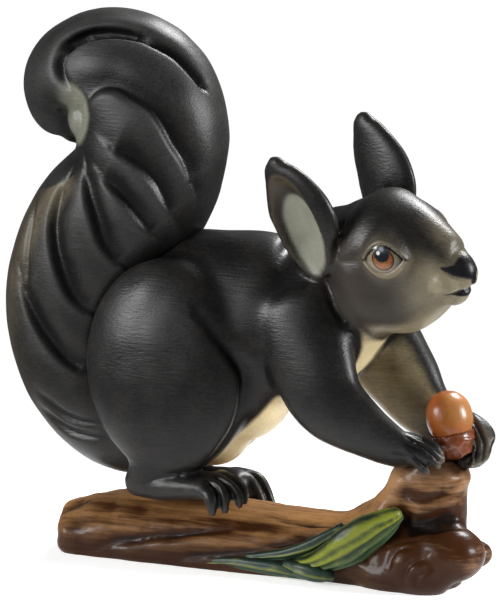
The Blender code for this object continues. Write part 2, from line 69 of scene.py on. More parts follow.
TRUNK = [
    (-44, 0, 66, 14, 17),
    (-34, 0, 72, 20, 31),
    (-14, 0, 78, 22, 38),
    (4, 0, 84.4, 21, 31.9),
    (20, 0, 86.6, 18.5, 26.4),
    (33, -1, 94, 16, 20.5),
    (44, -2, 101, 14, 17),
]
BELLY = {"centre": (-16.5, 0, 46), "radii": (15, 13, 13.5)}
HAUNCH = {"centre": (-25, -16, 69), "radii": (31, 13, 38)}
SHIN = [
    (-20, -15, 45, 7, 12),
    (-30, -14.5, 36, 7, 9),
    (-36, -14, 29, 6, 6.5),
]
FOOT = [
    (-38, -14, 28, 5.5, 5.5),
    (-28, -14, 27.5, 6.5, 5.5),
    (-17, -14.5, 28.5, 7.5, 5),
    (-9, -15, 29, 8.5, 4.5),
]
TOES = [
    # root, knuckle, bend, tip
    ((-10, -20.5, 28.5), (-6.5, -22.5, 27.5), (-5.5, -23, 24.5), (-5.5, -22.5, 21.2)),
    ((-9, -17.5, 30), (-4, -19.3, 29), (-2, -20, 25.8), (-2, -20, 22)),
    ((-8.5, -14, 31), (-2.5, -15.8, 30), (1.2, -16.3, 27), (1.8, -16.3, 23.3)),
    ((-8, -10.8, 31), (-2, -12, 30.3), (1.2, -12.3, 27.3), (1.8, -12.3, 23.8)),
]
TOES_LEFT = [
    ((-19, 15.5, 25), (-10, 14.8, 25.2), (-6, 14.5, 21.5), (-3.3, 14.2, 17.2)),
    ((-17, 20, 25), (-8, 19, 24.6), (-3.8, 18, 20.4), (-1, 17.4, 15.0)),
]
TOE_RADII = (3.0, 2.5, 2.1, 1.4)
SOLE_LEFT = {"centre": (-14, 15, 20.5), "radii": (8, 6.5, 4.5)}
LEFT_FOOT_SHIFT = (-3, 0, -5)  # the left foot stands lower, on the far side of the log
ARM_RIGHT = [
    (20, -12, 92, 9.5, 17),
    (27.3, -15, 75.6, 9, 16),
    (34.6, -16, 62, 8.5, 13.4),
    (46.5, -15.5, 52.8, 7, 10.1),
    (56, -13.5, 47.6, 6.2, 7.9),
    (62, -12.5, 45.8, 6.2, 5.8),
]
ARM_LEFT = [
    (25, 11, 92, 9.5, 16),
    (37.5, 14, 79, 9, 16.5),
    (47.2, 14.5, 68, 8, 14.4),
    (55.8, 13.5, 58, 6.5, 11.5),
    (63.2, 12.5, 52.8, 5.8, 9),
    (69, 12, 51.2, 5.5, 7.5),
]
PALM_LEFT = [
    (67, 12.5, 51.6, 5, 6.5),
    (73, 12, 50.2, 4.5, 7.2),
    (78, 9.5, 49.2, 3.2, 6.6),
    (79.6, 6.8, 47, 2.8, 6.4),
]
FINGERS_RIGHT = [
    # root, knuckle, bend, tip
    ((58, -16, 46), (65, -16.3, 43.2), (68, -16, 41.2), (70.2, -15.2, 39.6)),
    ((59, -15, 48.5), (67.5, -15, 46.6), (71.3, -14, 44), (73, -12.8, 42)),
    ((59, -12.5, 50.5), (67.3, -12.6, 49.4), (71.6, -11.8, 47.2), (73.6, -10.6, 44.6)),
    ((58.5, -10, 50.5), (66, -10.3, 50.2), (70, -10.2, 48.9), (72.6, -9.8, 46.4)),
]
FINGERS_LEFT = [
    ((73, 11.5, 55.2), (78.2, 8.5, 54), (82.6, 6, 48.6), (82.8, 4.5, 43.6)),
    ((74, 9, 54.7), (78.2, 6.2, 53.2), (81.6, 3.8, 48.2), (81.6, 2.4, 42.8)),
    ((74.5, 7, 53.2), (77.8, 4.2, 51.2), (80.2, 1.8, 47.2), (79.6, 0.6, 42)),
    ((80, 8, 47), (81.4, 6, 44), (79, 3.5, 41.6), (74.5, 1.2, 41.2)),
]
FINGER_RADII = (2.8, 2.2, 1.9, 1.3)
HEEL_LEFT = {"centre": (76.5, 4.5, 42.8), "radii": (5, 4, 2.6)}  # of the left hand
TAIL = [
    (-34, 0, 44, 11, 14),
    (-50, 0, 44, 14, 17),
    (-64, 0, 56, 17, 20),
    (-70, 0, 74, 20, 23),
    (-67.8, 0, 92, 22, 25.8),
    (-57.5, 0, 111.2, 24, 27.5),
    (-43, 0, 127.8, 25, 26),
    (-38.4, 0, 145, 25, 26.6),
    (-42.8, 0, 159.6, 24, 26),
    (-54, 0, 166.4, 22, 22.8),
    (-66.8, 0, 161.8, 18.5, 20.8),
    (-70, 0, 154.6, 13.5, 15),
    (-66.2, 0, 148, 8.5, 7.6),
]
LOG = [
    (-67.4, -3, 2.8, 15.6, 11.6),
    (-62, -2.5, 4.5, 17.2, 12.5),
    (-48, -1, 6, 18, 15),
    (-22, 0, 6, 18.5, 16),
    (10, 0, 6, 17.5, 15),
    (36, 0, 6, 16.5, 15),
    (56, -1, 8, 17, 16),
]
STUMP = [
    (60, -1, -3, 16, 14),
    (62, -1, 6, 15, 15),
    (63.5, -1, 14, 13.5, 13.5),
    (64.5, 0, 22, 12.6, 13),
    (65, 0, 30, 12.2, 12.6),
    (66, 0, 36, 12, 12),
    (68.6, 0, 41.5, 11.5, 11.8),
]
FLARE = [
    # where the stump sweeps down into the log
    (25, 0, 14.5, 12, 5.5),
    (35, 0, 15.5, 12.5, 6),
    (43.5, 0, 18.5, 12.5, 7),
    (50.5, 0, 22.8, 12, 7.5),
    (56.3, 0, 29, 11.5, 7.8),
    (60, 0, 37, 11.5, 8),
]
ROOTS = [
    {"centre": (73.8, -8, 13.2), "radii": (14, 12, 10.2), "turn": (0, 4, -10)},
    {"centre": (65, -12, 8.5), "radii": (14.5, 10, 11), "turn": (0, 8, -8)},
    {"centre": (54, -13, 4.5), "radii": (13, 7, 7), "turn": (0, 0, -10)},
    {"centre": (76, 8, 9), "radii": (8, 6, 5.5), "turn": (0, 0, 20)},
    {"centre": (58, 13, 5), "radii": (15, 8, 9), "turn": (0, 0, 10)},
]
LEAVES = {
    "leaf_broad": [
        (59, -15.5, 25.8, 3.2, 2.6),
        (54.5, -17.5, 22.5, 5.8, 3.4),
        (49, -18.8, 18.8, 7.4, 3.8),
        (44, -19.4, 14.8, 7.6, 3.8),
        (38, -19.4, 10.8, 5.8, 3.3),
        (31.5, -19, 7.6, 3.8, 2.8),
        (24, -18, 5.6, 2.2, 2.0),
    ],
    "leaf_lower": [
        (37, -20, 3.6, 2.0, 2.0),
        (31.5, -20.5, 4.3, 3.2, 2.6),
        (26, -20, 5.0, 2.9, 2.5),
        (20.5, -18.8, 5.8, 1.5, 1.6),
    ],
    "leaf_narrow": [
        (27, -18.5, 2.9, 2.0, 1.8),
        (18, -18, 3.7, 2.7, 2.3),
        (8, -17.5, 4.0, 2.5, 2.2),
        (-2, -16.5, 3.8, 1.9, 1.8),
        (-12, -15.8, 2.7, 1.2, 1.3),
        (-18, -15, 1.9, 0.8, 0.9),
    ],
    "leaf_folded": [
        (40, -16.5, 19.8, 1.6, 1.8),
        (34, -17.2, 16.0, 2.4, 2.0),
        (28, -17.6, 12.2, 2.7, 2.0),
        (20, -17.6, 9.2, 2.2, 1.8),
        (12, -17.2, 7.5, 1.6, 1.5),
        (5, -16.6, 6.3, 0.9, 1.0),
    ],
}
ACORN_AT = (75.2, 0, 42)
ACORN_LEAN = -14.0  # degrees about Y
ACORN_CUP = [(0.4, 1.2), (4.6, 2.6), (6.7, 6.5), (7.1, 10.2)]  # radius, height
ACORN_NUT = [(6.5, 10.2), (7.6, 13), (7.8, 16.5), (6.8, 20.4), (4.2, 23.3), (1.0, 24.6)]

HEAD_AT = (44.5, -2, 116)
HEAD_YAW, HEAD_ROLL = -17.0, 14.0  # degrees
# These stand in the head's frame: x to the nose, y to its left, z to its crown.
HEAD = [
    (-16, 0, -4, 13, 14),
    (-9, 0, -5.5, 17, 18.8),
    (0, 0, -7, 19.5, 23.4),
    (10, 0, -7, 19.5, 25.3),
    (18, 0, -6.8, 16.8, 22.5),
    (25, 0, -6.8, 12.2, 18.3),
    (31, 0, -7.2, 8.5, 13.6),
    (35.6, 0, -8, 6.8, 9.5),
    (38.2, 0, -7.5, 5, 5.6),
]
CHEEK = {"centre": (4, -9, -14), "radii": (17, 11, 15)}
BROW = {"centre": (14.5, -8.8, 2), "radii": (10, 7.4, 7.8), "turn": (0, 0, -20)}
EAR_RIGHT = [
    (-9, -16, -5, 9, 5),
    (-11.8, -18, 5, 12, 5),
    (-11.8, -19.5, 14, 14, 4.8),
    (-14, -21, 23, 11.9, 3.8),
    (-16.8, -22, 30.5, 6.8, 2.8),
    (-17.4, -22.4, 34, 3, 2),
]
EAR_LEFT = [
    (-3.5, 16, -5, 8.5, 5),
    (-6.4, 18, 5, 11.1, 5),
    (-7.8, 19.5, 14, 12.6, 4.6),
    (-12, 21, 23, 10.3, 3.7),
    (-15.5, 22, 31, 6, 2.8),
    (-16.2, 22.4, 34, 3.2, 2),
]
EAR_HOLLOW = {"centre": (-12.8, -26.4, 10.5), "radii": (10.8, 8.6, 21.5), "turn": (7, -10, 0)}
EAR_PALE = {"centre": (-11.3, -24, 8), "radii": (9.4, 10, 17), "turn": (7, -14, 0)}
LEFT_EAR_SHIFT = 4.0  # how much further forward the left ear's hollow lies
LEFT_EYE_INSET = 3.5  # the left eye and brow sit closer to the middle
CHIN = {"centre": (30.5, 0, -15.3), "radii": (6.6, 5.2, 4.8)}
NOSE_PAD = {"centre": (36.2, 0, -4.4), "radii": (6, 4.5, 3.5), "turn": (0, 38, 0)}
LIP_PAD = {"centre": (31.7, -4.6, -9.8), "radii": (6.4, 5.0, 4.7), "turn": (0, 10, 0)}

# The eyeball is the outer part of a sphere. Its axis looks out through the middle of the opening.
EYE_AT, EYE_RADIUS = (14.5, -6.5, 0.5), 12.0
EYE_AXIS = (0.31, -0.95, 0.0)
# The opening, as sines of angles from that axis: half its length, and its height above and below.
OPENING = (0.57, 0.45, 0.35)
LID = 0.8  # thickness of an eyelid's edge

NOSTRIL = [(38.8, -3.4, -5.6), (36.4, -5.2, -5.2), (33.6, -6.6, -4.2)]  # painted dark, narrowing backwards

# ---------------------------------------------------------------- cuts
# Each cut is a path of points, then its depth, its width and a lean: above zero, one bank is steeper.
# Those of the head stand in its frame; those of the tail are (station number, degrees round the ring).

HEAD_CUTS = [
    # crease behind the cheek
    ([(-4.5, -17.5, -4), (-8, -16.5, -9), (-6.8, -17.5, -14), (-5.8, -18, -19), (-4.5, -17, -25),
      (0, -13.5, -30), (6, -8, -32.5)], 1.5, 1.7, 0.3),
    # under the nose pad
    ([(33.0, -6.2, -3.4), (35.6, -5.6, -7.0), (38.2, -3.4, -8.6), (40.2, 0, -8.8)], 0.6, 0.8, 0.0),
    # the line of the mouth, and its open front
    ([(39.0, 0.8, -14.4), (37.4, -3.0, -14.0), (34.6, -6.4, -13.6), (29.8, -9.6, -14.4)], 1.1, 0.7, 0.0),
    ([(39.6, 1.0, -13.6), (37.8, -3.0, -13.6), (35.2, -6.0, -13.6)], 1.6, 1.2, 0.0),
    # the crease in front of the ear
    ([(-3, -13, 13), (-1.5, -15.5, 8), (-1.8, -17, 3), (-4, -18, -3)], 1.0, 1.5, 0.0),
]
MIDDLE_HEAD_CUTS = [
    # the lip's cleft
    ([(41.2, 0, -8.0), (39.6, 0, -11.0), (38.6, 0, -14.6)], 0.9, 0.7, 0.0),
]
BODY_CUTS = [
    # where the haunch stands out in front of the belly
    ([(-10, -25, 90), (-3.6, -24, 82.2), (1.4, -22.4, 76), (4.6, -20.6, 70.6), (5.4, -19.6, 65),
      (4.2, -18.8, 58), (0.8, -18.6, 50.2), (-5.8, -18.6, 41.5), (-12.5, -17.6, 35)], 2.0, 2.0, 0.4),
]
TAIL_CUTS = [
    ([(3.95, 150), (3.47, 168), (3.0, 183), (2.62, 195), (2.3, 208)], 3.0, 3.0, 1.0),
    ([(5.42, 141), (5.2, 148), (4.9, 160), (4.55, 177), (4.2, 195), (3.95, 212)], 3.2, 3.0, 1.0),
    ([(6.1, 150), (5.7, 166), (5.55, 180), (5.35, 198), (5.25, 216)], 2.8, 2.8, 1.0),
    ([(6.26, 168), (6.12, 186), (5.98, 204), (5.88, 224)], 2.8, 2.8, 1.0),
    ([(6.92, 174), (6.72, 192), (6.45, 212), (6.15, 230)], 2.8, 3.0, 1.0),
    ([(8.7, 164), (8.5, 178), (8.25, 188), (8.0, 194), (7.6, 206), (7.32, 213), (7.05, 220),
      (6.8, 230), (6.55, 239)], 2.8, 3.2, 1.0),
    ([(9.4, 170), (9.52, 184), (9.55, 192), (9.5, 202), (9.3, 212), (9.07, 219), (8.77, 228), (8.5, 234)],
     3.0, 2.0, 0.5),
    ([(2.25, 150), (1.75, 162), (1.2, 184)], 1.6, 1.6, 0.2),
    ([(2.03, 138), (1.58, 148), (1.05, 170)], 1.8, 1.8, 0.2),
    ([(5.0, 122), (4.75, 134), (4.4, 146), (3.9, 158)], 1.4, 1.8, 0.2),
]
# The end of the long groove round the curl, on the right side only.
TAIL_SLOT = [(9.3, 212), (9.07, 219), (8.77, 228), (8.5, 236), (8.28, 240), (8.07, 246), (7.9, 250),
             (7.75, 254), (7.65, 256)]
# Fills the pocket where the curl turns back on the rising tail.
CURL_FILL = {"centre": (-58, 0, 152), "radii": (9, 19, 10.5)}
CURL_CREAM = {"centre": (-61, 0, 154), "radii": (9.8, 90, 11.5)}
LOG_CUTS = [
    ([(-62, -14, 2), (-48.5, -15, 5.5), (-36.5, -16, 8), (-22.5, -18, 11), (-11.5, -17.5, 14), (2, -16, 16.5),
      (18.5, -14.5, 17.5)], 1.4, 1.9, 0.3),
    ([(-23.5, -17, 2), (-13, -17.5, 5), (0, -17.5, 7), (11.5, -17, 9.5), (22.5, -16, 13.5),
      (30.5, -14.5, 17.5)], 1.3, 1.8, 0.3),
    ([(10.5, -10, 20), (22.5, -12, 20), (34, -13, 20.5), (41.5, -13, 22)], 0.9, 1.5, 0.3),
    # the folds round the waist of the stump
    ([(55, -13.5, 25.5), (62, -15, 22.5), (69, -14.5, 23), (75, -13, 24), (80.5, -8, 25)], 2.3, 2.2, 0.4),
    ([(60, -13.5, 32.5), (68, -14, 31), (75.5, -12, 33), (79, -6, 35.5)], 0.9, 1.7, 0.2),
    ([(58, -18.5, 16.5), (63, -18, 20), (69, -16.5, 21.5), (74, -15, 20.5)], 1.2, 1.7, 0.2),
    # the knot
    ([(58.5, -21, 8), (58.5, -21, 13), (61, -20.5, 17), (66, -20, 17.5)], 1.2, 1.5, 0.3),
    ([(64, -24, 3.5), (64.5, -24, 8), (67, -23.5, 12), (71.5, -22, 14.5)], 1.3, 1.4, 0.4),
    ([(68.5, -24, 3.5), (70, -24, 7.5), (73.5, -22, 11)], 0.8, 1.3, 0.0),
]


# ---------------------------------------------------------------- colour, in sRGB


def linear(code):
    """An sRGB hex colour as the linear RGBA that the shaders take."""
    found = []
    for k in (0, 2, 4):
        v = int(code[k : k + 2], 16) / 255
        found.append(v / 12.92 if v <= 0.04045 else ((v + 0.055) / 1.055) ** 2.4)
    return (*found, 1.0)


def colour_property(name, code, description):
    return FloatVectorProperty(
        name=name, description=description, default=linear(code), size=4, min=0, max=1, subtype="COLOR"
    )


def length_property(name, size, description):
    return FloatProperty(
        name=name, description=description, default=size * MM, min=0, subtype="DISTANCE", unit="LENGTH"
    )


# ---------------------------------------------------------------- settings


class SquirrelSettings(PropertyGroup):
    skin: length_property("Skin detail", 0.86, "Spacing of the points of the carved skin")
    lid: length_property("Eyelid", LID, "Thickness of the edge of each eyelid")
    charcoal: colour_property("Charcoal", "0f0e0e", "The dark coat of paint over the back and legs")
    dry: colour_property("Dry brush", "292623", "The paler paint dragged over the dark coat")
    crest: colour_property("Crests", "3f3f3f", "The grey paint on the crests of the tail, and thinly on the body")
    cream: colour_property("Belly", "f0ddae", "The pale paint of the belly, chest and throat")
    tan: colour_property("Muzzle", "948a72", "The warm pale paint of the muzzle")
    cheek: colour_property("Cheek", "3b352f", "The brown-grey paint of the cheek")
    ear: colour_property("Inside of the ear", "8f9080", "The pale paint of the ear's hollow")
    # The same near-black is also painted as shade in the deepest cuts, between the fingers and toes and round the
    # ear's pale patch.
    ink_and_shade: colour_property("Nose", "121316", "The near-black of the nose, the mouth and the deepest cuts")
    rim: colour_property("Eyelids", "9a8e78", "The pale paint on the edges of the lids")
    tip: colour_property("Claws", "6d6250", "The horn colour of the finger and toe tips")


class TailSettings(PropertyGroup):
    skin: length_property("Tail detail", 0.65, "Spacing of the points of the carved tail")
    depth: FloatProperty(name="Cut depth", description="Share of the full depth of the locks",
                         default=1.0, min=0, max=2)
    warm: colour_property("Rear edge", "4e4435", "The warm paint down the rear edge of the tail")


class EyeSettings(PropertyGroup):
    iris: colour_property("Iris", "8f5a34", "The orange-brown of the iris")
    pupil: colour_property("Pupil", "171c24", "The blue-black of the pupil")
    white: colour_property("Eyeball", "8d8371", "The pale paint in the corners of the eye")


class LogSettings(PropertyGroup):
    skin: length_property("Log detail", 0.7, "Spacing of the points of the carved log")
    stain: colour_property("Stain", "3a200e", "The walnut-brown stain of the log")
    # The same golden brown also lies along the log's top, as painted light.
    gold: colour_property("Rubbed ridges", "926a42", "The golden brown where the stain is rubbed back")


class LeafSettings(PropertyGroup):
    ridge: length_property("Ridge height", 1.0, "Height of the ridges along a leaf")
    light: colour_property("Ridges", "767d28", "The yellow-green of the ridges")
    dark: colour_property("Hollows", "1c2e28", "The blue-green of the hollows")


class AcornSettings(PropertyGroup):
    nut: colour_property("Nut", "84501f", "The orange-brown of the nut")
    cup: colour_property("Cup", "5c2c15", "The red-brown of the cup")


class StageSettings(PropertyGroup):
    distance: FloatProperty(name="Camera distance", description="From the camera to the carving's middle",
                            default=1.2, min=0.1, subtype="DISTANCE", unit="LENGTH")
    lens: FloatProperty(name="Lens", description="Focal length in millimetres", default=211.76, min=1)
    azimuth: FloatProperty(name="Azimuth", description="Turn of the camera round the carving",
                           default=math.radians(25), subtype="ANGLE", unit="ROTATION")
    elevation: FloatProperty(name="Elevation", description="Height of the camera above the level",
                             default=math.radians(10), subtype="ANGLE", unit="ROTATION")
    floor: colour_property("Floor", "ffffff", "The pale floor")


class CarvingSettings(PropertyGroup):
    squirrel: PointerProperty(type=SquirrelSettings, name="Squirrel", description="The skin and its paint")
    tail: PointerProperty(type=TailSettings, name="Tail", description="The tail and its locks")
    eyes: PointerProperty(type=EyeSettings, name="Eyes", description="The painted eyes")
    log: PointerProperty(type=LogSettings, name="Log", description="The log and stump")
    leaves: PointerProperty(type=LeafSettings, name="Leaves", description="The painted leaves")
    acorn: PointerProperty(type=AcornSettings, name="Acorn", description="The acorn")
    stage: PointerProperty(type=StageSettings, name="Stage", description="Floor, lights and camera")


# ---------------------------------------------------------------- modelling helpers


def eased(stations, per_span):
    """Points on one smooth (Catmull-Rom) curve through the stations, sizes and all."""
    rows = np.array(stations, float)
    padded = np.vstack([2 * rows[0] - rows[1], rows, 2 * rows[-1] - rows[-2]])
    found = []
    for i in range(1, len(rows)):
        a, b, c, d = padded[i - 1 : i + 3]
        for k in range(per_span):
            t = k / per_span
            bend = (2 * a - 5 * b + 4 * c - d) * t**2 + (3 * b - a - 3 * c + d) * t**3
            found.append(0.5 * (2 * b + (c - a) * t + bend))
    found.append(rows[-1])
    return np.array(found)


def unit(vectors):
    return vectors / np.linalg.norm(vectors, axis=-1, keepdims=True)


def ring_axes(centres, side):
    """The side, the normal and the tangent of a ring at each centre."""
    tangents = unit(np.gradient(centres, axis=0))
    normals = unit(np.cross(tangents, np.array(side, float)))
    return np.cross(normals, tangents), normals, tangents


def matrix_of(x_axis, y_axis, z_axis, origin):
    return Matrix([[*row] for row in zip(x_axis, y_axis, z_axis, origin)] + [[0, 0, 0, 1]])


def skin_over(bm, loops):
    """Bridges each ring of edges to the next, and closes both ends."""
    for first, second in zip(loops, loops[1:]):
        bmesh.ops.bridge_loops(bm, edges=first + second)
    for loop in (loops[0], loops[-1]):
        bmesh.ops.contextual_create(bm, geom=loop)


def loft(bm, stations, side=ACROSS, sides=20, per_span=4, cap=0.8):
    """Bridges rings along a smooth curve through the stations, and rounds both ends."""
    rows = eased(stations, per_span)
    across, normals, along = ring_axes(rows[:, :3], side)
    rings = [(row[:3], row[3:5], k) for k, row in enumerate(rows)]
    for end, sign in ((0, -1), (len(rows) - 1, 1)):
        reach = min(rows[end, 3:5]) * cap
        caps = []
        for angle in (30, 60, 86):
            turn = math.radians(angle)
            centre = rows[end, :3] + along[end] * sign * reach * math.sin(turn)
            caps.append((centre, rows[end, 3:5] * math.cos(turn), end))
        rings = caps[::-1] + rings if sign < 0 else rings + caps
    loops = []
    for centre, half, k in rings:
        matrix = matrix_of(across[k] * half[0] * MM, normals[k] * half[1] * MM, along[k], centre * MM)
        made = bmesh.ops.create_circle(bm, segments=sides, radius=1.0, matrix=matrix)
        loops.append(list({e for v in made["verts"] for e in v.link_edges}))
    skin_over(bm, loops)


def ellipsoid(bm, centre, radii, turn=(0, 0, 0), detail=4):
    """An ellipsoid turned by Euler angles in degrees."""
    rotation = Euler([math.radians(v) for v in turn]).to_matrix().to_4x4()
    size = Matrix.Diagonal((*[r * MM for r in radii], 1))
    matrix = Matrix.Translation(Vector(centre) * MM) @ rotation @ size
    bmesh.ops.create_icosphere(bm, subdivisions=detail, radius=1.0, matrix=matrix)


def mirrored(form, shift=(0, 0, 0)):
    """The same form on the other side of the plane y = 0, then moved."""
    i, j, k = shift
    if isinstance(form, dict):
        x, y, z = form["centre"]
        a, b, c = form.get("turn", (0, 0, 0))
        return {**form, "centre": (x + i, j - y, z + k), "turn": (-a, b, -c)}
    return [(x + i, j - y, z + k, *sizes) for x, y, z, *sizes in form]


def object_from(bm, name):
    bmesh.ops.recalc_face_normals(bm, faces=bm.faces)
    mesh = bpy.data.meshes.new(name)
    bm.to_mesh(mesh)
    bm.free()
    obj = bpy.data.objects.new(name, mesh)
    bpy.context.scene.collection.objects.link(obj)
    return obj


def apply_modifiers(obj):
    bpy.context.view_layer.update()
    graph = bpy.context.evaluated_depsgraph_get()
    made = bpy.data.meshes.new_from_object(obj.evaluated_get(graph))
    obj.modifiers.clear()
    spent = obj.data
    obj.data = made
    bpy.data.meshes.remove(spent)
    return obj


def fused(obj, voxel):
    """One closed skin round everything in the mesh."""
    remesh = obj.modifiers.new("fuse", "REMESH")
    remesh.mode = "VOXEL"
    remesh.voxel_size = voxel * MM
    return apply_modifiers(obj)


def boolean(obj, cutter, operation="DIFFERENCE"):
    cut = obj.modifiers.new("cut", "BOOLEAN")
    cut.operation = operation
    cut.object = cutter
    apply_modifiers(obj)
    bpy.data.objects.remove(cutter)
    return obj


def cut_flat(bm, place, outward):
    """Cuts a solid off flat at a plane and closes it."""
    cut = bmesh.ops.bisect_plane(bm, geom=bm.verts[:] + bm.edges[:] + bm.faces[:], plane_co=place,
                                 plane_no=outward, clear_outer=True)
    rim = [e for e in cut["geom_cut"] if isinstance(e, bmesh.types.BMEdge)]
    bmesh.ops.contextual_create(bm, geom=rim)


def corners_of(obj):
    """The mesh's points, in millimetres."""
    co = np.empty(len(obj.data.vertices) * 3, np.float32)
    obj.data.vertices.foreach_get("co", co)
    return co.reshape(-1, 3).astype(float) / MM


def set_corners(obj, co):
    obj.data.vertices.foreach_set("co", (co * MM).astype(np.float32).ravel())
    obj.data.update()


def normals_of(obj):
    found = np.empty(len(obj.data.vertices) * 3, np.float32)
    obj.data.vertices.foreach_get("normal", found)
    return found.reshape(-1, 3).astype(float)


class Neighbours:
    """Averages values over the points that share an edge."""

    def __init__(self, obj):
        ends = np.empty(len(obj.data.edges) * 2, np.int32)
        obj.data.edges.foreach_get("vertices", ends)
        self.a, self.b = ends.reshape(-1, 2).T
        self.size = len(obj.data.vertices)
        count = np.bincount(self.a, minlength=self.size) + np.bincount(self.b, minlength=self.size)
        self.count = np.maximum(count, 1)

    def mean(self, values):
        if values.ndim == 2:
            return np.stack([self.mean(column) for column in values.T], axis=1)
        total = np.bincount(self.a, values[self.b], self.size)
        total = total + np.bincount(self.b, values[self.a], self.size)
        return total / self.count

    def smooth(self, values, rounds):
        for _ in range(rounds):
            values = 0.5 * (values + self.mean(values))
        return values


def relaxed(obj, reach, voxel):
    """Smooths away detail finer than about the reach, in millimetres."""
    set_corners(obj, Neighbours(obj).smooth(corners_of(obj), round((reach / voxel) ** 2)))
    return obj


def refined(obj, chosen, cuts=1):
    """Splits the edges of the faces whose points are chosen, for finer detail there."""
    bm = bmesh.new()
    bm.from_mesh(obj.data)
    bm.verts.ensure_lookup_table()
    picked = [f for f in bm.faces if all(chosen[v.index] for v in f.verts)]
    edges = list({e for f in picked for e in f.edges})
    bmesh.ops.subdivide_edges(bm, edges=edges, cuts=cuts, use_grid_fill=True)
    bm.to_mesh(obj.data)
    bm.free()
    return obj


def ramp(values, low, high):
    """Eases from 0 at the low value to 1 at the high one."""
    t = np.clip((values - low) / (high - low), 0, 1)
    return t * t * (3 - 2 * t)


def nearest_on(points, path):
    """For each point, the number of the nearest place on the path and the step from it."""
    index = np.empty(len(points), int)
    for start in range(0, len(points), 20000):
        part = points[start : start + 20000]
        gap = part @ path.T * -2 + (path**2).sum(1)
        index[start : start + 20000] = gap.argmin(1)
    return index, points - path[index]


def press(co, normals, path, depth, width, lean=0.0, ends=0.5):
    """Cuts one groove along a path over the surface. It shoals towards both ends."""
    samples = eased(path, 16)[:, :3]
    tangents = unit(np.gradient(samples, axis=0))
    reach = 5 * width + 1
    box = ((co > samples.min(0) - reach) & (co < samples.max(0) + reach)).all(1)
    near = np.flatnonzero(box)
    index, step = nearest_on(co[near], samples)
    n = normals[near]
    level = (step * n).sum(1)
    flat = step - n * level[:, None]
    signed = (flat * np.cross(tangents[index], n)).sum(1)
    apart = np.linalg.norm(flat, axis=1) * np.where(signed > 0, 1 + lean, 1 / (1 + lean))
    share = index / (len(samples) - 1)
    shoal = np.sin(np.pi * np.clip(share, 0.02, 0.98)) ** ends
    bite = depth * shoal * np.exp(-((apart / width) ** 2)) * (np.abs(level) < 4 + depth)
    co[near] -= n * bite[:, None]
    return co


def lumps(co, size, seed):
    """Smooth random heights over the points, of the lump size in millimetres."""
    shift = Vector((seed * 17.3, seed * 7.1, seed * 3.7))
    return np.array([noise.noise(Vector(p) / size + shift) for p in co])


def hollows(obj, reach, spacing):
    """How deep each point lies below its surroundings within the reach, above zero in a groove.
    The spacing is that of the points; both are in millimetres."""
    around = Neighbours(obj)
    co = corners_of(obj)
    wide = around.smooth(co, round((reach / spacing) ** 2))
    return around.smooth(((wide - co) * normals_of(obj)).sum(1), 3)


def keep(obj, name, values):
    """Stores one number for each point, for the paint to read."""
    layer = obj.data.attributes.new(name, "FLOAT", "POINT")
    layer.data.foreach_set("value", np.asarray(values, np.float32))


def smooth_shaded(obj):
    obj.data.polygons.foreach_set("use_smooth", np.ones(len(obj.data.polygons), bool))
    obj.data.update()
    return obj


def finished(obj, material, slot, *nodes):
    """Gives a piece its finish, and its place in the frame."""
    obj.data.materials.clear()
    obj.data.materials.append(material)
    smooth_shaded(obj)
    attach(obj, "root")
    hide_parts(*nodes)
    return obj


def head_frame():
    turn = Matrix.Rotation(math.radians(HEAD_YAW), 4, "Z") @ Matrix.Rotation(math.radians(HEAD_ROLL), 4, "X")
    return Matrix.Translation(Vector(HEAD_AT) * MM) @ turn


HEAD_TURN = np.array(head_frame().to_3x3())


def to_head(points):
    return (points - np.array(HEAD_AT, float)) @ HEAD_TURN


def from_head(points):
    return np.array(points, float) @ HEAD_TURN.T + np.array(HEAD_AT, float)


def inside(points, centre, radii, turn=(0, 0, 0)):
    """Distance from the middle of an ellipsoid, 1 being its surface."""
    rotation = np.array(Euler([math.radians(v) for v in turn]).to_matrix())
    return np.linalg.norm((points - np.array(centre, float)) @ rotation / np.array(radii, float), axis=1)


def ring_place(points, stations, side=ACROSS, per_span=12):
    """Where each point lies on a loft: its station number, angle in degrees and distance from the
    middle line, 1 being the loft's surface."""
    rows = eased(stations, per_span)
    across, normals, _ = ring_axes(rows[:, :3], side)
    index, step = nearest_on(points, rows[:, :3])
    u = (step * across[index]).sum(1) / rows[index, 3]
    v = (step * normals[index]).sum(1) / rows[index, 4]
    return index / per_span, np.degrees(np.arctan2(v, u)) % 360, np.hypot(u, v)


def other_bank(lean):
    """The lean of the same groove on the other side, where its banks change places."""
    return -lean / (1 + lean)


# ---------------------------------------------------------------- material helpers


def add(tree, kind, inputs=(), **settings):
    """One shader node. Each input is set to a value, or linked when given a socket."""
    node = tree.nodes.new(kind)
    for name, value in settings.items():
        setattr(node, name, value)
    for key, value in dict(inputs).items():
        if isinstance(value, bpy.types.NodeSocket):
            tree.links.new(value, node.inputs[key])
        else:
            node.inputs[key].default_value = value
    return node


def new_material(name):
    material = bpy.data.materials.new(name)
    material.use_nodes = True
    material.node_tree.nodes.clear()
    return material, material.node_tree


def attribute(tree, name):
    return add(tree, "ShaderNodeAttribute", attribute_name=name).outputs["Fac"]


def maths(tree, operation, a, b=0.0, c=0.0, clamp=False):
    return add(tree, "ShaderNodeMath", {0: a, 1: b, 2: c}, operation=operation, use_clamp=clamp).outputs[0]


def swayed(tree, value, by, amount, clamp=False):
    """The value moved up and down with a pattern, by the amount for the pattern's whole span."""
    return maths(tree, "MULTIPLY_ADD", maths(tree, "SUBTRACT", by, 0.5), amount, value, clamp)


def blend(tree, factor, a, b, kind="MIX"):
    """Two colours mixed by a factor."""
    made = add(tree, "ShaderNodeMix", {"Factor": factor, 6: a, 7: b}, data_type="RGBA", blend_type=kind)
    return made.outputs[2]


def between(tree, value, low, high, to_low=0.0, to_high=1.0):
    """The value's place between two limits, eased."""
    made = add(tree, "ShaderNodeMapRange", {0: value, 1: low, 2: high, 3: to_low, 4: to_high},
               interpolation_type="SMOOTHSTEP")
    return made.outputs[0]


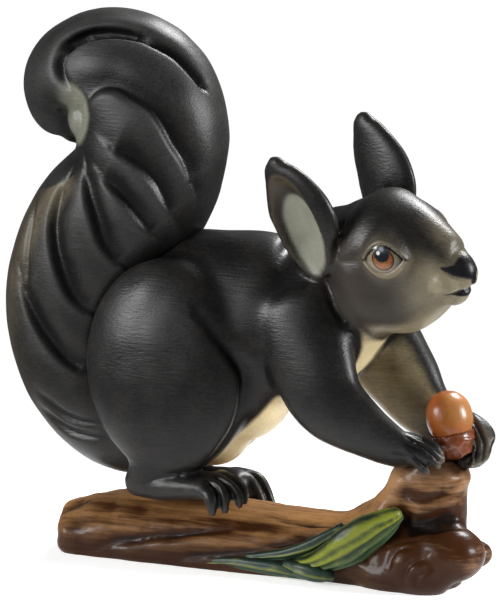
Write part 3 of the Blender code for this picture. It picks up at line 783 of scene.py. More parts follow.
def pattern(tree, width, lengthwise=(1, 1, 1), detail=3.0, turn=(0, 0, 0)):
    """Noise whose marks are about this many millimetres wide, and longer by these factors on X, Y, Z."""
    where = add(tree, "ShaderNodeTexCoord").outputs["Object"]
    scale = [1 / (width * MM * f) for f in lengthwise]
    where = add(tree, "ShaderNodeMapping", {"Vector": where, "Rotation": turn, "Scale": scale}).outputs[0]
    marks = {"Vector": where, "Scale": 1.0, "Detail": detail, "Roughness": 0.55}
    return add(tree, "ShaderNodeTexNoise", marks).outputs[0]


def surface(tree, colour, roughness, height, depth, coat=0.0, coat_roughness=0.2, gleam=0.5):
    """Paint or lacquer with a relief of the given depth in millimetres."""
    bump = add(tree, "ShaderNodeBump", {"Height": height, "Distance": depth * MM, "Strength": 1.0})
    shader = add(tree, "ShaderNodeBsdfPrincipled", {
        "Base Color": colour, "Roughness": roughness, "Normal": bump.outputs[0],
        "Coat Weight": coat, "Coat Roughness": coat_roughness, "Specular IOR Level": gleam,
    })
    add(tree, "ShaderNodeOutputMaterial", {"Surface": shader.outputs[0]})
    return shader


# ---------------------------------------------------------------- materials


def painted_squirrel(settings, warm):
    """Artist's acrylic, brushed in thin coats on sanded limewood and sealed with satin lacquer: a dark
    coat with a paler one dragged over its high places, soft edges between the colours, fine brush
    lines that run along the figure, painted shade in the grooves, hollows and gaps, and broad soft highlights."""
    material, tree = new_material("brushed acrylic on carved limewood")
    cloud = pattern(tree, 9, detail=2.0)
    # Brush hairs leave lines 0.3 mm wide; they are drawn 0.7 mm wide, so that they show.
    hairs = pattern(tree, 0.7, (14, 1, 1), detail=2.0)
    speck = pattern(tree, 0.9, detail=2.0)
    hollow = attribute(tree, "hollow")

    drag = maths(tree, "MULTIPLY_ADD", hollow, -0.9, 0.16)
    drag = swayed(tree, drag, cloud, 0.9)
    drag = swayed(tree, drag, hairs, 0.8)
    drag = swayed(tree, drag, speck, 1.0, clamp=True)
    colour = blend(tree, drag, tuple(settings.charcoal), tuple(settings.dry))
    crest = attribute(tree, "crest")
    for marks, share, least in ((hairs, 0.8, 0.4), (speck, 0.9, 0.45)):
        crest = maths(tree, "MULTIPLY", crest, maths(tree, "MULTIPLY_ADD", marks, share, least), clamp=True)
    colour = blend(tree, crest, colour, tuple(settings.crest))

    wander = maths(tree, "MULTIPLY", maths(tree, "SUBTRACT", cloud, 0.5), 0.5)
    for name, shade in (("warm", warm), ("cheek", settings.cheek), ("cream", settings.cream),
                        ("tan", settings.tan), ("tip", settings.tip), ("ear", settings.ear),
                        ("rim", settings.rim)):
        worn = swayed(tree, wander, hairs, 0.35)
        mask = attribute(tree, name)
        # The edge wanders only where the two colours meet.
        spread = maths(tree, "MULTIPLY", mask, maths(tree, "SUBTRACT", 1.0, mask))
        cover = maths(tree, "MULTIPLY_ADD", worn, maths(tree, "MULTIPLY", spread, 4.0), mask, clamp=True)
        # Each colour is darker in the hollows, as painted shade, and mottled by the specks.
        deep = maths(tree, "MULTIPLY_ADD", maths(tree, "SUBTRACT", speck, 0.5), 0.30, 0.92)
        deep = maths(tree, "MULTIPLY_ADD", hollow, -0.35, deep, clamp=True)
        grey = add(tree, "ShaderNodeCombineColor", {0: deep, 1: deep, 2: deep}).outputs[0]
        tone = blend(tree, 1.0, tuple(shade), grey, "MULTIPLY")
        colour = blend(tree, cover, colour, tone)
    # Painted shade: the grooves and hollows darken towards the near-black of the nose.
    colour = blend(tree, between(tree, hollow, 0.4, 2.0, 0.0, 0.8), colour, tuple(settings.ink_and_shade))
    # Near-black paint of the nose, mouth and eye corners, and painted shade between the fingers and toes and
    # round the ear's pale patch.
    colour = blend(tree, attribute(tree, "ink_and_shade"), colour, tuple(settings.ink_and_shade))

    roughness = maths(tree, "MULTIPLY_ADD", cloud, 0.12, 0.28)
    roughness = maths(tree, "MULTIPLY_ADD", attribute(tree, "crest"), 0.12, roughness)
    roughness = maths(tree, "MULTIPLY_ADD", speck, 0.08, roughness)
    relief = maths(tree, "MULTIPLY_ADD", speck, 0.5, hairs)
    surface(tree, colour, roughness, relief, 0.09, gleam=0.28)
    return material


def painted_eye(settings):
    """Enamel brushed on a smooth turned ball and varnished: a wet, glassy gleam over a warm iris, and a painted
    highlight on the pupil.
    """
    material, tree = new_material("varnished enamel")
    place = add(tree, "ShaderNodeUVMap", uv_map="eye").outputs[0]
    parts = add(tree, "ShaderNodeSeparateXYZ", {0: place})
    v = parts.outputs[1]

    def from_point(x, y):
        gap = add(tree, "ShaderNodeVectorMath", {0: place, 1: (x, y, 0)}, operation="DISTANCE")
        return gap.outputs["Value"]

    iris = from_point(IRIS_AT[0] + 0.5, IRIS_AT[1] + 0.5)
    pupil = from_point(PUPIL_AT[0] + 0.5, PUPIL_AT[1] + 0.5)
    gleam = from_point(PAINTED_HIGHLIGHT_AT[0] + 0.5, PAINTED_HIGHLIGHT_AT[1] + 0.5)
    ray = pattern(tree, 0.5, detail=3.0)
    outer = between(tree, iris, IRIS_RADIUS * 0.95, 0.62)
    white = blend(tree, outer, tuple(settings.white), linear("5f5446"))
    glow = blend(tree, between(tree, v, 0.62, 0.22), linear("6b3514"), tuple(settings.iris))
    glow = blend(tree, between(tree, ray, 0.35, 0.7, 0.0, 0.35), glow, linear("d99a52"))
    rim = between(tree, iris, IRIS_RADIUS * 0.80, IRIS_RADIUS * 0.98)
    glow = blend(tree, rim, glow, linear("3a2316"))
    colour = blend(tree, between(tree, iris, IRIS_RADIUS, IRIS_RADIUS * 1.07), glow, white)
    dark = blend(tree, between(tree, v, 0.66, 0.95), tuple(settings.pupil), linear("4a5260"))
    colour = blend(tree, between(tree, pupil, PUPIL_RADIUS * 0.94, PUPIL_RADIUS * 1.08), dark, colour)
    # Painted highlight: a near-white spot on the pupil, in place of a lamp's reflection.
    painted_highlight = between(tree, gleam, PAINTED_HIGHLIGHT_RADIUS * 0.8, PAINTED_HIGHLIGHT_RADIUS * 1.15)
    colour = blend(tree, painted_highlight, linear("e8e6e0"), colour)
    colour = blend(tree, attribute(tree, "lash"), colour, linear("0e0d0d"))
    surface(tree, colour, 0.16, ray, 0.01, coat=0.2, coat_roughness=0.06)
    return material


def stained_log(settings):
    """Limewood stained walnut brown, rubbed back on the ridges and lacquered: long grain, dark in the
    gouges from pooled stain deepened with painted shade, gold on the crests, painted light along
    the top, and painted shade towards the bottom and under the hands and acorn, all under a warm gloss."""
    material, tree = new_material("walnut stain on carved limewood")
    grain = pattern(tree, 1.1, (22, 1.2, 1.2), detail=4.0)
    band = pattern(tree, 5.5, (9, 1.4, 1), detail=3.0)
    speck = pattern(tree, 0.8, (3, 1, 1), detail=3.0)
    round_stump = pattern(tree, 1.2, (9, 9, 1), detail=4.0, turn=(0, 0.35, 0))
    stump = attribute(tree, "stump")
    hollow = attribute(tree, "hollow")
    figure = add(tree, "ShaderNodeMix", {0: stump, 2: grain, 3: round_stump}).outputs[0]
    rubbed = maths(tree, "MULTIPLY_ADD", hollow, -0.9, 0.10)
    rubbed = swayed(tree, rubbed, band, 2.0)
    rubbed = swayed(tree, rubbed, figure, 1.6)
    # The gold adds the rubbed-back stain, and painted light along the log's top.
    rubbed = maths(tree, "ADD", attribute(tree, "gold"), rubbed, clamp=True)
    gold = blend(tree, stump, tuple(settings.gold), linear("9a7350"))
    colour = blend(tree, rubbed, tuple(settings.stain), gold)
    colour = blend(tree, between(tree, speck, 0.56, 0.74, 0.0, 0.5), colour, linear("26130a"))
    # Painted shade: darker towards the bottom of the log.
    colour = blend(tree, maths(tree, "MULTIPLY", attribute(tree, "low"), 0.9), colour, linear("2b160a"))
    # Dark in the gouges: stain pooled there, deepened with painted shade.
    colour = blend(tree, between(tree, hollow, 0.05, 0.6, 0.0, 0.95), colour, linear("140d0b"))
    colour = blend(tree, attribute(tree, "shade"), colour, linear("1b120e"))
    roughness = maths(tree, "MULTIPLY_ADD", figure, 0.20, 0.26)
    relief = maths(tree, "MULTIPLY_ADD", speck, 0.4, figure)
    surface(tree, colour, roughness, relief, 0.10, coat=0.08, coat_roughness=0.12, gleam=0.1)
    return material


def painted_leaf(name, light, dark):
    """Acrylic brushed along the ridges of a carved leaf, wet in wet: yellow-green on the crests, a
    blue-green glaze pooled in the hollows, and a soft gloss of lacquer."""
    material, tree = new_material(name)
    ridge = attribute(tree, "ridge")
    streak = pattern(tree, 1.0, (7, 1.5, 3), detail=3.0, turn=(0, -0.6, 0))
    cloud = pattern(tree, 6, detail=2.0)
    level = swayed(tree, ridge, streak, 0.9)
    level = swayed(tree, level, cloud, 0.7, clamp=True)
    light = blend(tree, maths(tree, "MULTIPLY", attribute(tree, "cool"), 0.85), light, linear("37523c"))
    colour = blend(tree, between(tree, level, -0.1, 1.1), dark, light)
    colour = blend(tree, between(tree, streak, 0.60, 0.75, 0.0, 0.25), colour, linear("8f8f5c"))
    colour = blend(tree, attribute(tree, "edge"), colour, linear("16211f"))
    roughness = maths(tree, "MULTIPLY_ADD", streak, 0.2, 0.25)
    surface(tree, colour, roughness, streak, 0.10, gleam=0.18)
    return material


def painted_nut(settings):
    """Thin orange-brown glaze over pale wood, varnished smooth, with painted light on one shoulder."""
    material, tree = new_material("amber glaze on turned limewood")
    grain = pattern(tree, 0.9, (1.2, 1.2, 9), detail=3.0)
    cloud = pattern(tree, 7, detail=2.0)
    colour = blend(tree, between(tree, cloud, 0.3, 0.7), tuple(settings.nut), linear("96481a"))
    # Painted highlight: paler on the shoulder that faces up and along +X.
    colour = blend(tree, maths(tree, "MULTIPLY", attribute(tree, "pale"), 0.30), colour, linear("d09a62"))
    colour = blend(tree, between(tree, grain, 0.50, 0.75, 0.0, 0.35), colour, linear("7c3f16"))
    roughness = maths(tree, "MULTIPLY_ADD", cloud, 0.15, 0.25)
    surface(tree, colour, roughness, grain, 0.05, coat=0.08, coat_roughness=0.3, gleam=0.35)
    return material


def painted_cup(settings):
    """Red-brown glaze on a cup left rough from the knife, darker in its dents."""
    material, tree = new_material("red-brown glaze on carved limewood")
    cloud = pattern(tree, 4, detail=3.0)
    speck = pattern(tree, 0.8, detail=3.0)
    colour = blend(tree, between(tree, cloud, 0.35, 0.65), tuple(settings.cup), linear("70391b"))
    dent = between(tree, attribute(tree, "hollow"), -0.05, 0.15, 0.0, 0.8)
    colour = blend(tree, dent, colour, linear("24110a"))
    roughness = maths(tree, "MULTIPLY_ADD", speck, 0.2, 0.22)
    surface(tree, colour, roughness, speck, 0.08, coat=0.25, coat_roughness=0.2, gleam=0.4)
    return material


IRIS_AT, IRIS_RADIUS = (0.02, 0.05), 0.315
PUPIL_AT, PUPIL_RADIUS = (0.01, 0.20), 0.215
# Where the painted highlight sits on the pupil, and its size.
PAINTED_HIGHLIGHT_AT, PAINTED_HIGHLIGHT_RADIUS = (-0.085, 0.245), 0.055


# ---------------------------------------------------------------- the squirrel's skin


def add_in_head_frame(bm, part):
    bmesh.ops.transform(part, matrix=head_frame(), verts=part.verts)
    mesh = bpy.data.meshes.new("part")
    part.to_mesh(mesh)
    part.free()
    bm.from_mesh(mesh)
    bpy.data.meshes.remove(mesh)


def body_masses():
    """The trunk, haunches, arms and skull, as overlapping lofts and ellipsoids."""
    bm = bmesh.new()
    ellipsoid(bm, **BELLY)
    ellipsoid(bm, **HAUNCH)
    ellipsoid(bm, **mirrored(HAUNCH))
    for stations in (TRUNK, SHIN, mirrored(SHIN), ARM_RIGHT, ARM_LEFT):
        loft(bm, stations, sides=32, per_span=6)
    head = bmesh.new()
    loft(head, HEAD, sides=32, per_span=6)
    for form, inset in ((CHEEK, 0), (BROW, LEFT_EYE_INSET)):
        ellipsoid(head, **form)
        ellipsoid(head, **mirrored(form, (0, -inset, 0)))
    add_in_head_frame(bm, head)
    return object_from(bm, "squirrel_body")


def ear_mesh(left):
    """One ear: a broad leaf of wood with a hollow scooped from its outer face."""
    bm = bmesh.new()
    loft(bm, EAR_LEFT if left else EAR_RIGHT, side=(1, 0, 0.3), sides=32, per_span=6)
    ear = object_from(bm, "ear")
    bm = bmesh.new()
    ellipsoid(bm, **(mirrored(EAR_HOLLOW, (LEFT_EAR_SHIFT, 0, 0)) if left else EAR_HOLLOW))
    boolean(ear, object_from(bm, "hollow"))
    ear.data.transform(head_frame())
    return ear


def gaps(digits, out):
    """Lines along the surface between neighbouring fingers or toes, moved out by a step."""
    return [[tuple(np.add(np.add(a, b) / 2, out)) for a, b in zip(first, second)]
            for first, second in zip(digits, digits[1:])]


DIGIT_GAPS = (
    gaps(TOES, (0.8, -0.6, 1.6))
    + gaps(TOES_LEFT, (0.8, -0.6, 1.6))
    + gaps(FINGERS_RIGHT, (0, -1.2, 1.2))
    + gaps(FINGERS_LEFT, (0.4, -1.4, 0))
)


def digit(path, radii):
    """Stations of a finger or a toe."""
    return [(*point, r, r) for point, r in zip(path, radii)]


def with_small_forms(body):
    """Adds the feet, toes, hands, fingers, ears, nose and lips to the body's masses."""
    bm = bmesh.new()
    for stations in (FOOT, mirrored(FOOT, LEFT_FOOT_SHIFT), PALM_LEFT):
        loft(bm, stations)
    for form in (SOLE_LEFT, HEEL_LEFT):
        ellipsoid(bm, **form)
    for toe in TOES + TOES_LEFT:
        loft(bm, digit(toe, TOE_RADII), sides=16)
    for finger in FINGERS_RIGHT + FINGERS_LEFT:
        loft(bm, digit(finger, FINGER_RADII), sides=16)
    face = bmesh.new()
    for form in (NOSE_PAD, CHIN, LIP_PAD, mirrored(LIP_PAD)):
        ellipsoid(face, **form)
    add_in_head_frame(bm, face)
    bm.from_mesh(body.data)
    for left in (False, True):
        ear = ear_mesh(left)
        bm.from_mesh(ear.data)
        bpy.data.objects.remove(ear)
    bpy.data.objects.remove(body)
    return object_from(bm, "squirrel_body")


def eye_axes(sign):
    """The eyeball's centre and its along, up and outward axes, in the head's frame."""
    x, y, z = EYE_AT
    y += 0 if sign > 0 else LEFT_EYE_INSET
    out = unit(np.array([EYE_AXIS[0], EYE_AXIS[1] * sign, EYE_AXIS[2]]))
    up = np.array([0.0, 0.0, 1.0])
    along = np.array([out[1] * -sign, out[0] * sign, 0.0])
    return np.array([x, y * sign, z]), unit(along), up, out


def eye_place(points, sign):
    """Each point's place before an eye: sines along and up, how far outward, and its distance."""
    centre, along, up, out = eye_axes(sign)
    step = points - centre
    far = np.linalg.norm(step, axis=1)
    ray = step / far[:, None]
    return ray @ along, ray @ up, ray @ out, far, ray


def past_opening(u, v):
    """Millimetres outside the edge of the eye's opening, below zero inside it."""
    half, above, below = OPENING
    bend = 1 - (u / half) ** 2
    return np.maximum(v - above * bend, -v - below * bend) * EYE_RADIUS


def with_lids(body, lid):
    """Tucks the skin behind each eyeball within its opening, and lifts an eyelid round the edge."""
    co = corners_of(body)
    head = to_head(co)
    for sign in (1, -1):
        u, v, outward, far, ray = eye_place(head, sign)
        edge = past_opening(u, v)
        lifted = EYE_RADIUS + lid * (1 - 0.5 * ramp(edge, 0.8, 2.4))
        outside = far + (lifted - far) * (1 - ramp(edge, 0.8, 9.0)) * ramp(outward, 0.15, 0.45)
        target = outside + (EYE_RADIUS - 1.4 - outside) * (1 - ramp(edge, -0.35, 0.25))
        shift = np.where((outward > 0.15) & (edge < 9.0), target - far, 0.0)
        head += ray * shift[:, None]
    set_corners(body, from_head(head))


def carve_body(body, settings):
    co = corners_of(body)
    head = to_head(co)
    front = (head[:, 0] > 24) & (head[:, 2] < 4) & (head[:, 2] > -19)
    for sign in (1, -1):
        u, v, outward, far, _ = eye_place(head, sign)
        front |= (outward > 0.3) & (past_opening(u, v) < 3.0) & (far > 9)
    for x, y, z in (TOES[1][2], TOES_LEFT[1][2], FINGERS_RIGHT[1][2], FINGERS_LEFT[1][2]):
        front |= np.linalg.norm(co - np.array((x, y, z), float), axis=1) < 9
    refined(body, front)
    with_lids(body, settings.lid / MM)

    co, normals = corners_of(body), normals_of(body)
    for path, depth, width, lean in HEAD_CUTS:
        press(co, normals, from_head(path), depth, width, lean)
        press(co, normals, from_head(mirrored(path)), depth, width, other_bank(lean))
    for path, depth, width, lean in MIDDLE_HEAD_CUTS:
        press(co, normals, from_head(path), depth, width, lean)
    for path, depth, width, lean in BODY_CUTS:
        press(co, normals, path, depth, width, lean)
        press(co, normals, mirrored(path), depth, width, other_bank(lean))
    for path in DIGIT_GAPS:
        press(co, normals, path, 1.3, 0.8, ends=0.25)
    set_corners(body, co)
    # The knife leaves the surface a little uneven.
    head = to_head(co)
    away = np.minimum(*[np.linalg.norm(head - eye_axes(s)[0], axis=1) for s in (1, -1)])
    uneven = lumps(co, 9, 1) * 0.22 * ramp(away, 13, 18)
    set_corners(body, co + normals_of(body) * uneven[:, None])


def soften_ears(body, voxel):
    """Rubs the thin rims of the ears smooth."""
    co = corners_of(body)
    head = to_head(co)
    thin = ramp(head[:, 2], 14, 20) * ramp(np.abs(head[:, 1]), 9, 13)
    rubbed = Neighbours(body).smooth(co, round((1.6 / voxel) ** 2))
    set_corners(body, co + (rubbed - co) * thin[:, None])


def along_path(points, path, width, soft):
    """1 on a painted line of the given half width, easing to 0 over its soft edge."""
    samples = eased(path, 10)[:, :3]
    _, step = nearest_on(points, samples)
    return ramp(np.linalg.norm(step, axis=1), width + soft, width)


def paint_body(body, voxel):
    """Stores where each colour lies."""
    co, normals = corners_of(body), normals_of(body)
    x, y, z = co.T
    head, facing = to_head(co), normals @ HEAD_TURN
    ahead, left, above = head.T
    # How deep each point lies in a groove; the paint darkens it there as painted shade.
    hollow = hollows(body, 3.8, voxel)
    crest = ramp(-hollows(body, 12, voxel), 0.0, 1.4) * 0.18

    # The pale belly lies under a line along the flank, and in front of the haunch's crease.
    fold = np.array(BODY_CUTS[0][0], float)[::-1]
    before = x - np.interp(z, fold[:, 2], fold[:, 0])
    before = np.maximum(ramp(before, 0.0, 1.2), ramp(np.abs(y), 15, 12) * ramp(x, -34, -26))
    cream = ramp(z - 62 - 0.45 * (x - 4), 1.0, -1.0) * ramp(x, 30, 26) * before
    _, round_trunk, _ = ring_place(co, TRUNK)
    chest = ramp(np.abs(round_trunk - 270), 74, 62) * ramp(x, 22, 28) * ramp(x, 56, 48)
    cream = np.maximum(cream, 0.92 * chest)
    for stations in (SHIN, FOOT, mirrored(SHIN), mirrored(FOOT, LEFT_FOOT_SHIFT)):
        _, _, from_leg = ring_place(co, stations)
        cream *= ramp(from_leg, 1.0, 1.25)
    for stations, sign in ((ARM_RIGHT, 1), (ARM_LEFT, -1)):
        along, _, from_arm = ring_place(co, stations)
        on_arm = ramp(from_arm, 1.38, 1.2) * ramp(y * -sign, 3, 6)
        facing_in = ramp(normals[:, 1] * sign, 0.35, 0.8) * ramp(normals[:, 0], 0.6, 0.3)
        facing_in = facing_in * ramp(along, 4.6, 3.2)
        cream = cream * (1 - on_arm) + facing_in * on_arm * (0.34 if sign < 0 else 0.0)
    cream *= ramp(z, 30, 33)
    palm = ramp(inside(co, (79, 9, 50), (12, 8, 11)), 1.1, 0.9) * ramp(normals[:, 1], -0.3, -0.8)
    in_head = ramp(inside(head, (10, 0, -6), (33, 24, 29)), 1.06, 0.98)
    cream *= 1 - in_head

    # Pale paint under the jaw: cream throat, and a painted highlight for the light thrown up by the floor.
    jaw = in_head * ramp(facing[:, 2], -0.35, -0.8) * ramp(ahead, -2, 16)
    cream = np.maximum(cream, jaw * 0.4)
    # The dark crown gives way to the cheek along a line that falls towards the nose.
    slope = above - 6 + 0.45 * np.maximum(ahead - 16, 0)
    cheek = in_head * ramp(slope, 8, -6) * ramp(ahead, -14, 6)
    tan = in_head * ramp(slope, 3, -6) * ramp(ahead, 15, 33)
    bridge = in_head * ramp(np.abs(left), 7, 3) * ramp(ahead, 22, 32) * 0.3
    tan = np.maximum(tan, bridge)
    ink_and_shade = np.zeros(len(co))
    rim = np.zeros(len(co))
    for sign in (1, -1):
        u, v, outward, _, _ = eye_place(head, sign)
        edge = past_opening(u, v)
        front = outward > 0.25
        tan = np.maximum(tan, front * ramp(edge, 6.0, 1.0) * 0.2)
        lower = front * ramp(v, 0.06, -0.06)
        upper = front * ramp(v, -0.04, 0.04)
        lids = lower * ramp(edge, 1.6, 0.8) * 0.8 + upper * ramp(edge, 0.2, 0.5) * ramp(edge, 1.4, 0.9) * 0.45
        rim = np.maximum(rim, lids)
        corner = front * ramp(np.abs(v), 0.06, 0.03) * ramp(np.abs(u), 0.54, 0.58)
        corner = corner * ramp(np.abs(u), 0.70, 0.62)
        ink_and_shade = np.maximum(ink_and_shade, corner * 0.9)
        # Less painted shade in the hollows round the eyes.
        hollow = hollow * (1 - 0.85 * front * ramp(edge, 16, 11))

    nose = inside(head, (38.8, 0, -5.4), (5.4, 4.8, 3.9), (0, 12, 0))
    ink_and_shade = np.maximum(ink_and_shade, ramp(nose, 1.08, 0.96))
    for sign in (1, -1):
        side = head * np.array([1, sign, 1])
        for path, wide, narrow in ((NOSTRIL, 2.4, 0.3), (HEAD_CUTS[2][0], 2.0, 0.2)):
            samples = eased(path, 10)
            index, step = nearest_on(side, samples)
            width = wide + (narrow - wide) * index / (len(samples) - 1)
            ink_and_shade = np.maximum(ink_and_shade, ramp(np.linalg.norm(step, axis=1), width + 0.5, width))
    ink_and_shade = np.maximum(ink_and_shade, along_path(head, MIDDLE_HEAD_CUTS[0][0], 1.2, 0.8))

    ear = np.zeros(len(co))
    warm = np.zeros(len(co))
    for sign, shift in ((1, 0), (-1, LEFT_EAR_SHIFT)):
        side = (head - np.array([shift, 0, 0])) * np.array([1, sign, 1])
        cup = ramp(inside(side, **EAR_HOLLOW), 1.05, 0.99) * (side[:, 0] < 4) * (side[:, 1] < -14)
        pale = inside(side, **EAR_PALE)
        ear = np.maximum(ear, cup * ramp(pale, 1.02, 0.90))
        warm = np.maximum(warm, cup * ramp(pale, 0.95, 1.05))
        # A dark line round the pale patch: painted shade where the ear's rim falls into its hollow.
        ink_and_shade = np.maximum(ink_and_shade, 0.55 * cup * ramp(pale, 0.93, 1.0) * ramp(pale, 1.16, 1.05))
    tip = palm * 0.75
    # Painted shade: dark lines in the gaps between the fingers and between the toes.
    for path in DIGIT_GAPS:
        ink_and_shade = np.maximum(ink_and_shade, along_path(co, path, 0.35, 0.6) * 0.9)
    for finger in FINGERS_RIGHT + FINGERS_LEFT:
        tip = np.maximum(tip, 0.45 * ramp(np.linalg.norm(co - np.array(finger[3]), axis=1), 2.8, 1.4))
    for toe in TOES + TOES_LEFT:
        tip = np.maximum(tip, 0.08 * ramp(np.linalg.norm(co - np.array(toe[3]), axis=1), 3.0, 1.4))
    for name, values in (("cream", cream), ("cheek", cheek), ("tan", tan), ("ear", ear), ("warm", warm),
                         ("tip", tip), ("rim", rim), ("ink_and_shade", np.clip(ink_and_shade, 0, 1)), ("hollow", hollow),
                         ("crest", crest)):
        keep(body, name, values)


class CARVING_OT_squirrel(Operator):
    """Carve the squirrel's body as one skin and paint it"""

    bl_idname = "carving.squirrel"
    bl_label = "Carve the Squirrel"

    def execute(self, context):
        settings = context.scene.carving.squirrel
        voxel = settings.skin / MM
        body = relaxed(fused(body_masses(), 1.0), 4.2, 1.0)
        body = relaxed(fused(with_small_forms(body), voxel), 1.1, voxel)
        carve_body(body, settings)
        soften_ears(body, voxel)
        paint_body(body, voxel)
        nodes = [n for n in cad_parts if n.startswith(BODY_NODES)]
        material = painted_squirrel(settings, context.scene.carving.tail.warm)
        finished(body, material, "painted_squirrel", *nodes)
        return {"FINISHED"}


# ---------------------------------------------------------------- the tail


def tail_path(places):
    """Points on the tail's surface from (station, angle) pairs."""
    per_span = 40
    rows = eased(TAIL, per_span)
    across, normals, _ = ring_axes(rows[:, :3], ACROSS)
    found = []
    for station, angle in places:
        k = min(int(round(station * per_span)), len(rows) - 1)
        turn = math.radians(angle)
        out = across[k] * rows[k, 3] * math.cos(turn) + normals[k] * rows[k, 4] * math.sin(turn)
        found.append(rows[k, :3] + out)
    return found


class CARVING_OT_tail(Operator):
    """Carve the tail with its overlapping locks and paint it"""

    bl_idname = "carving.tail"
    bl_label = "Carve the Tail"

    def execute(self, context):
        settings = context.scene.carving.tail
        voxel = settings.skin / MM
        bm = bmesh.new()
        loft(bm, TAIL, sides=48, per_span=8)
        ellipsoid(bm, **CURL_FILL)
        tail = relaxed(fused(object_from(bm, "squirrel_tail"), voxel), 2.5, voxel)
        co = corners_of(tail)
        for places, depth, width, lean in TAIL_CUTS:
            for flip in (False, True):
                points = tail_path([(s, 180 - a) if flip else (s, a) for s, a in places])
                bank = other_bank(lean) if flip else lean
                press(co, normals_of(tail), points, depth * settings.depth, width, bank)
                set_corners(tail, co)
        press(co, normals_of(tail), tail_path(TAIL_SLOT), 4.2 * settings.depth, 2.2, 0.4, ends=0.2)
        set_corners(tail, co)
        relaxed(tail, 1.0, voxel)
        co = corners_of(tail)
        set_corners(tail, co + normals_of(tail) * (lumps(co, 9, 2) * 0.25)[:, None])
        co = corners_of(tail)
        station, angle, _ = ring_place(co, TAIL)
        rear = np.where(station < 7.5, np.abs(angle - 90), 90.0)
        rear += 90 * ramp(co[:, 2], 128, 150)
        curl = ramp(inside(co, **CURL_CREAM), 1.08, 0.84) * ramp(co[:, 0], -68, -56) * 0.8
        strip = ramp(station, 3.0, 5.5) * ramp(station, 6.9, 6.4) * ramp(np.abs(rear - 52), 16, 3) * 0.6
        keep(tail, "ear", curl)
        keep(tail, "cream", strip * 0.14)
        keep(tail, "warm", ramp(station, 1.0, 4.0) * ramp(station, 7.2, 5.8) * ramp(rear, 80, 35) * 0.45)
        # How deep each point lies in the grooves between the locks; the paint darkens it there as painted shade.
        keep(tail, "hollow", hollows(tail, 5.5, voxel))
        keep(tail, "crest", ramp(-hollows(tail, 8, voxel), -0.1, 1.1) * (0.5 + 0.5 * ramp(co[:, 2], 40, 95)))
        for name in ("cheek", "tan", "tip", "rim", "ink_and_shade"):
            keep(tail, name, np.zeros(len(tail.data.vertices)))
        material = bpy.data.objects["squirrel_body"].data.materials[0]
        nodes = [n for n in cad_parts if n.startswith("tail")]
        finished(tail, material, "painted_squirrel", *nodes)
        return {"FINISHED"}


# ---------------------------------------------------------------- the eyes


class CARVING_OT_eyes(Operator):
    """Turn both eyeballs and paint the iris, pupil and lashes"""

    bl_idname = "carving.eyes"
    bl_label = "Make the Eyes"

    def execute(self, context):
        material = painted_eye(context.scene.carving.eyes)
        for side, sign in (("right", 1), ("left", -1)):
            centre, _, _, out = eye_axes(sign)
            bm = bmesh.new()
            bmesh.ops.create_icosphere(bm, subdivisions=6, radius=EYE_RADIUS * MM,
                                       matrix=Matrix.Translation(Vector(centre) * MM))
            middle = Vector(centre + out * EYE_RADIUS * 0.45) * MM
            cut_flat(bm, middle, Vector(-out))
            eye = object_from(bm, f"eye_{side}_painted")
            local = corners_of(eye)
            u, v, _, _, _ = eye_place(local, sign)
            edge = past_opening(u, v)
            # Past the lids the ball is cut back, so that it stays under the skin.
            sunken = local - centre
            set_corners(eye, centre + sunken * (1 - 0.3 * ramp(edge, 1.0, 3.0))[:, None])
            lash = ramp(v, -0.05, 0.05) * ramp(edge, -1.0, -0.75)
            corner = ramp(np.abs(u), 0.46, 0.54) * ramp(np.abs(v), 0.10, 0.04)
            keep(eye, "lash", np.maximum(lash, corner))
            layer = eye.data.uv_layers.new(name="eye")
            corner_of = np.empty(len(eye.data.loops), np.int32)
            eye.data.loops.foreach_get("vertex_index", corner_of)
            flat = np.stack([u, v], axis=1)[corner_of] + 0.5
            layer.data.foreach_set("uv", flat.astype(np.float32).ravel())
            eye.data.transform(head_frame())
            finished(eye, material, "painted_eye", f"eye_{side}")
        return {"FINISHED"}


# ---------------------------------------------------------------- the log, leaves and acorn


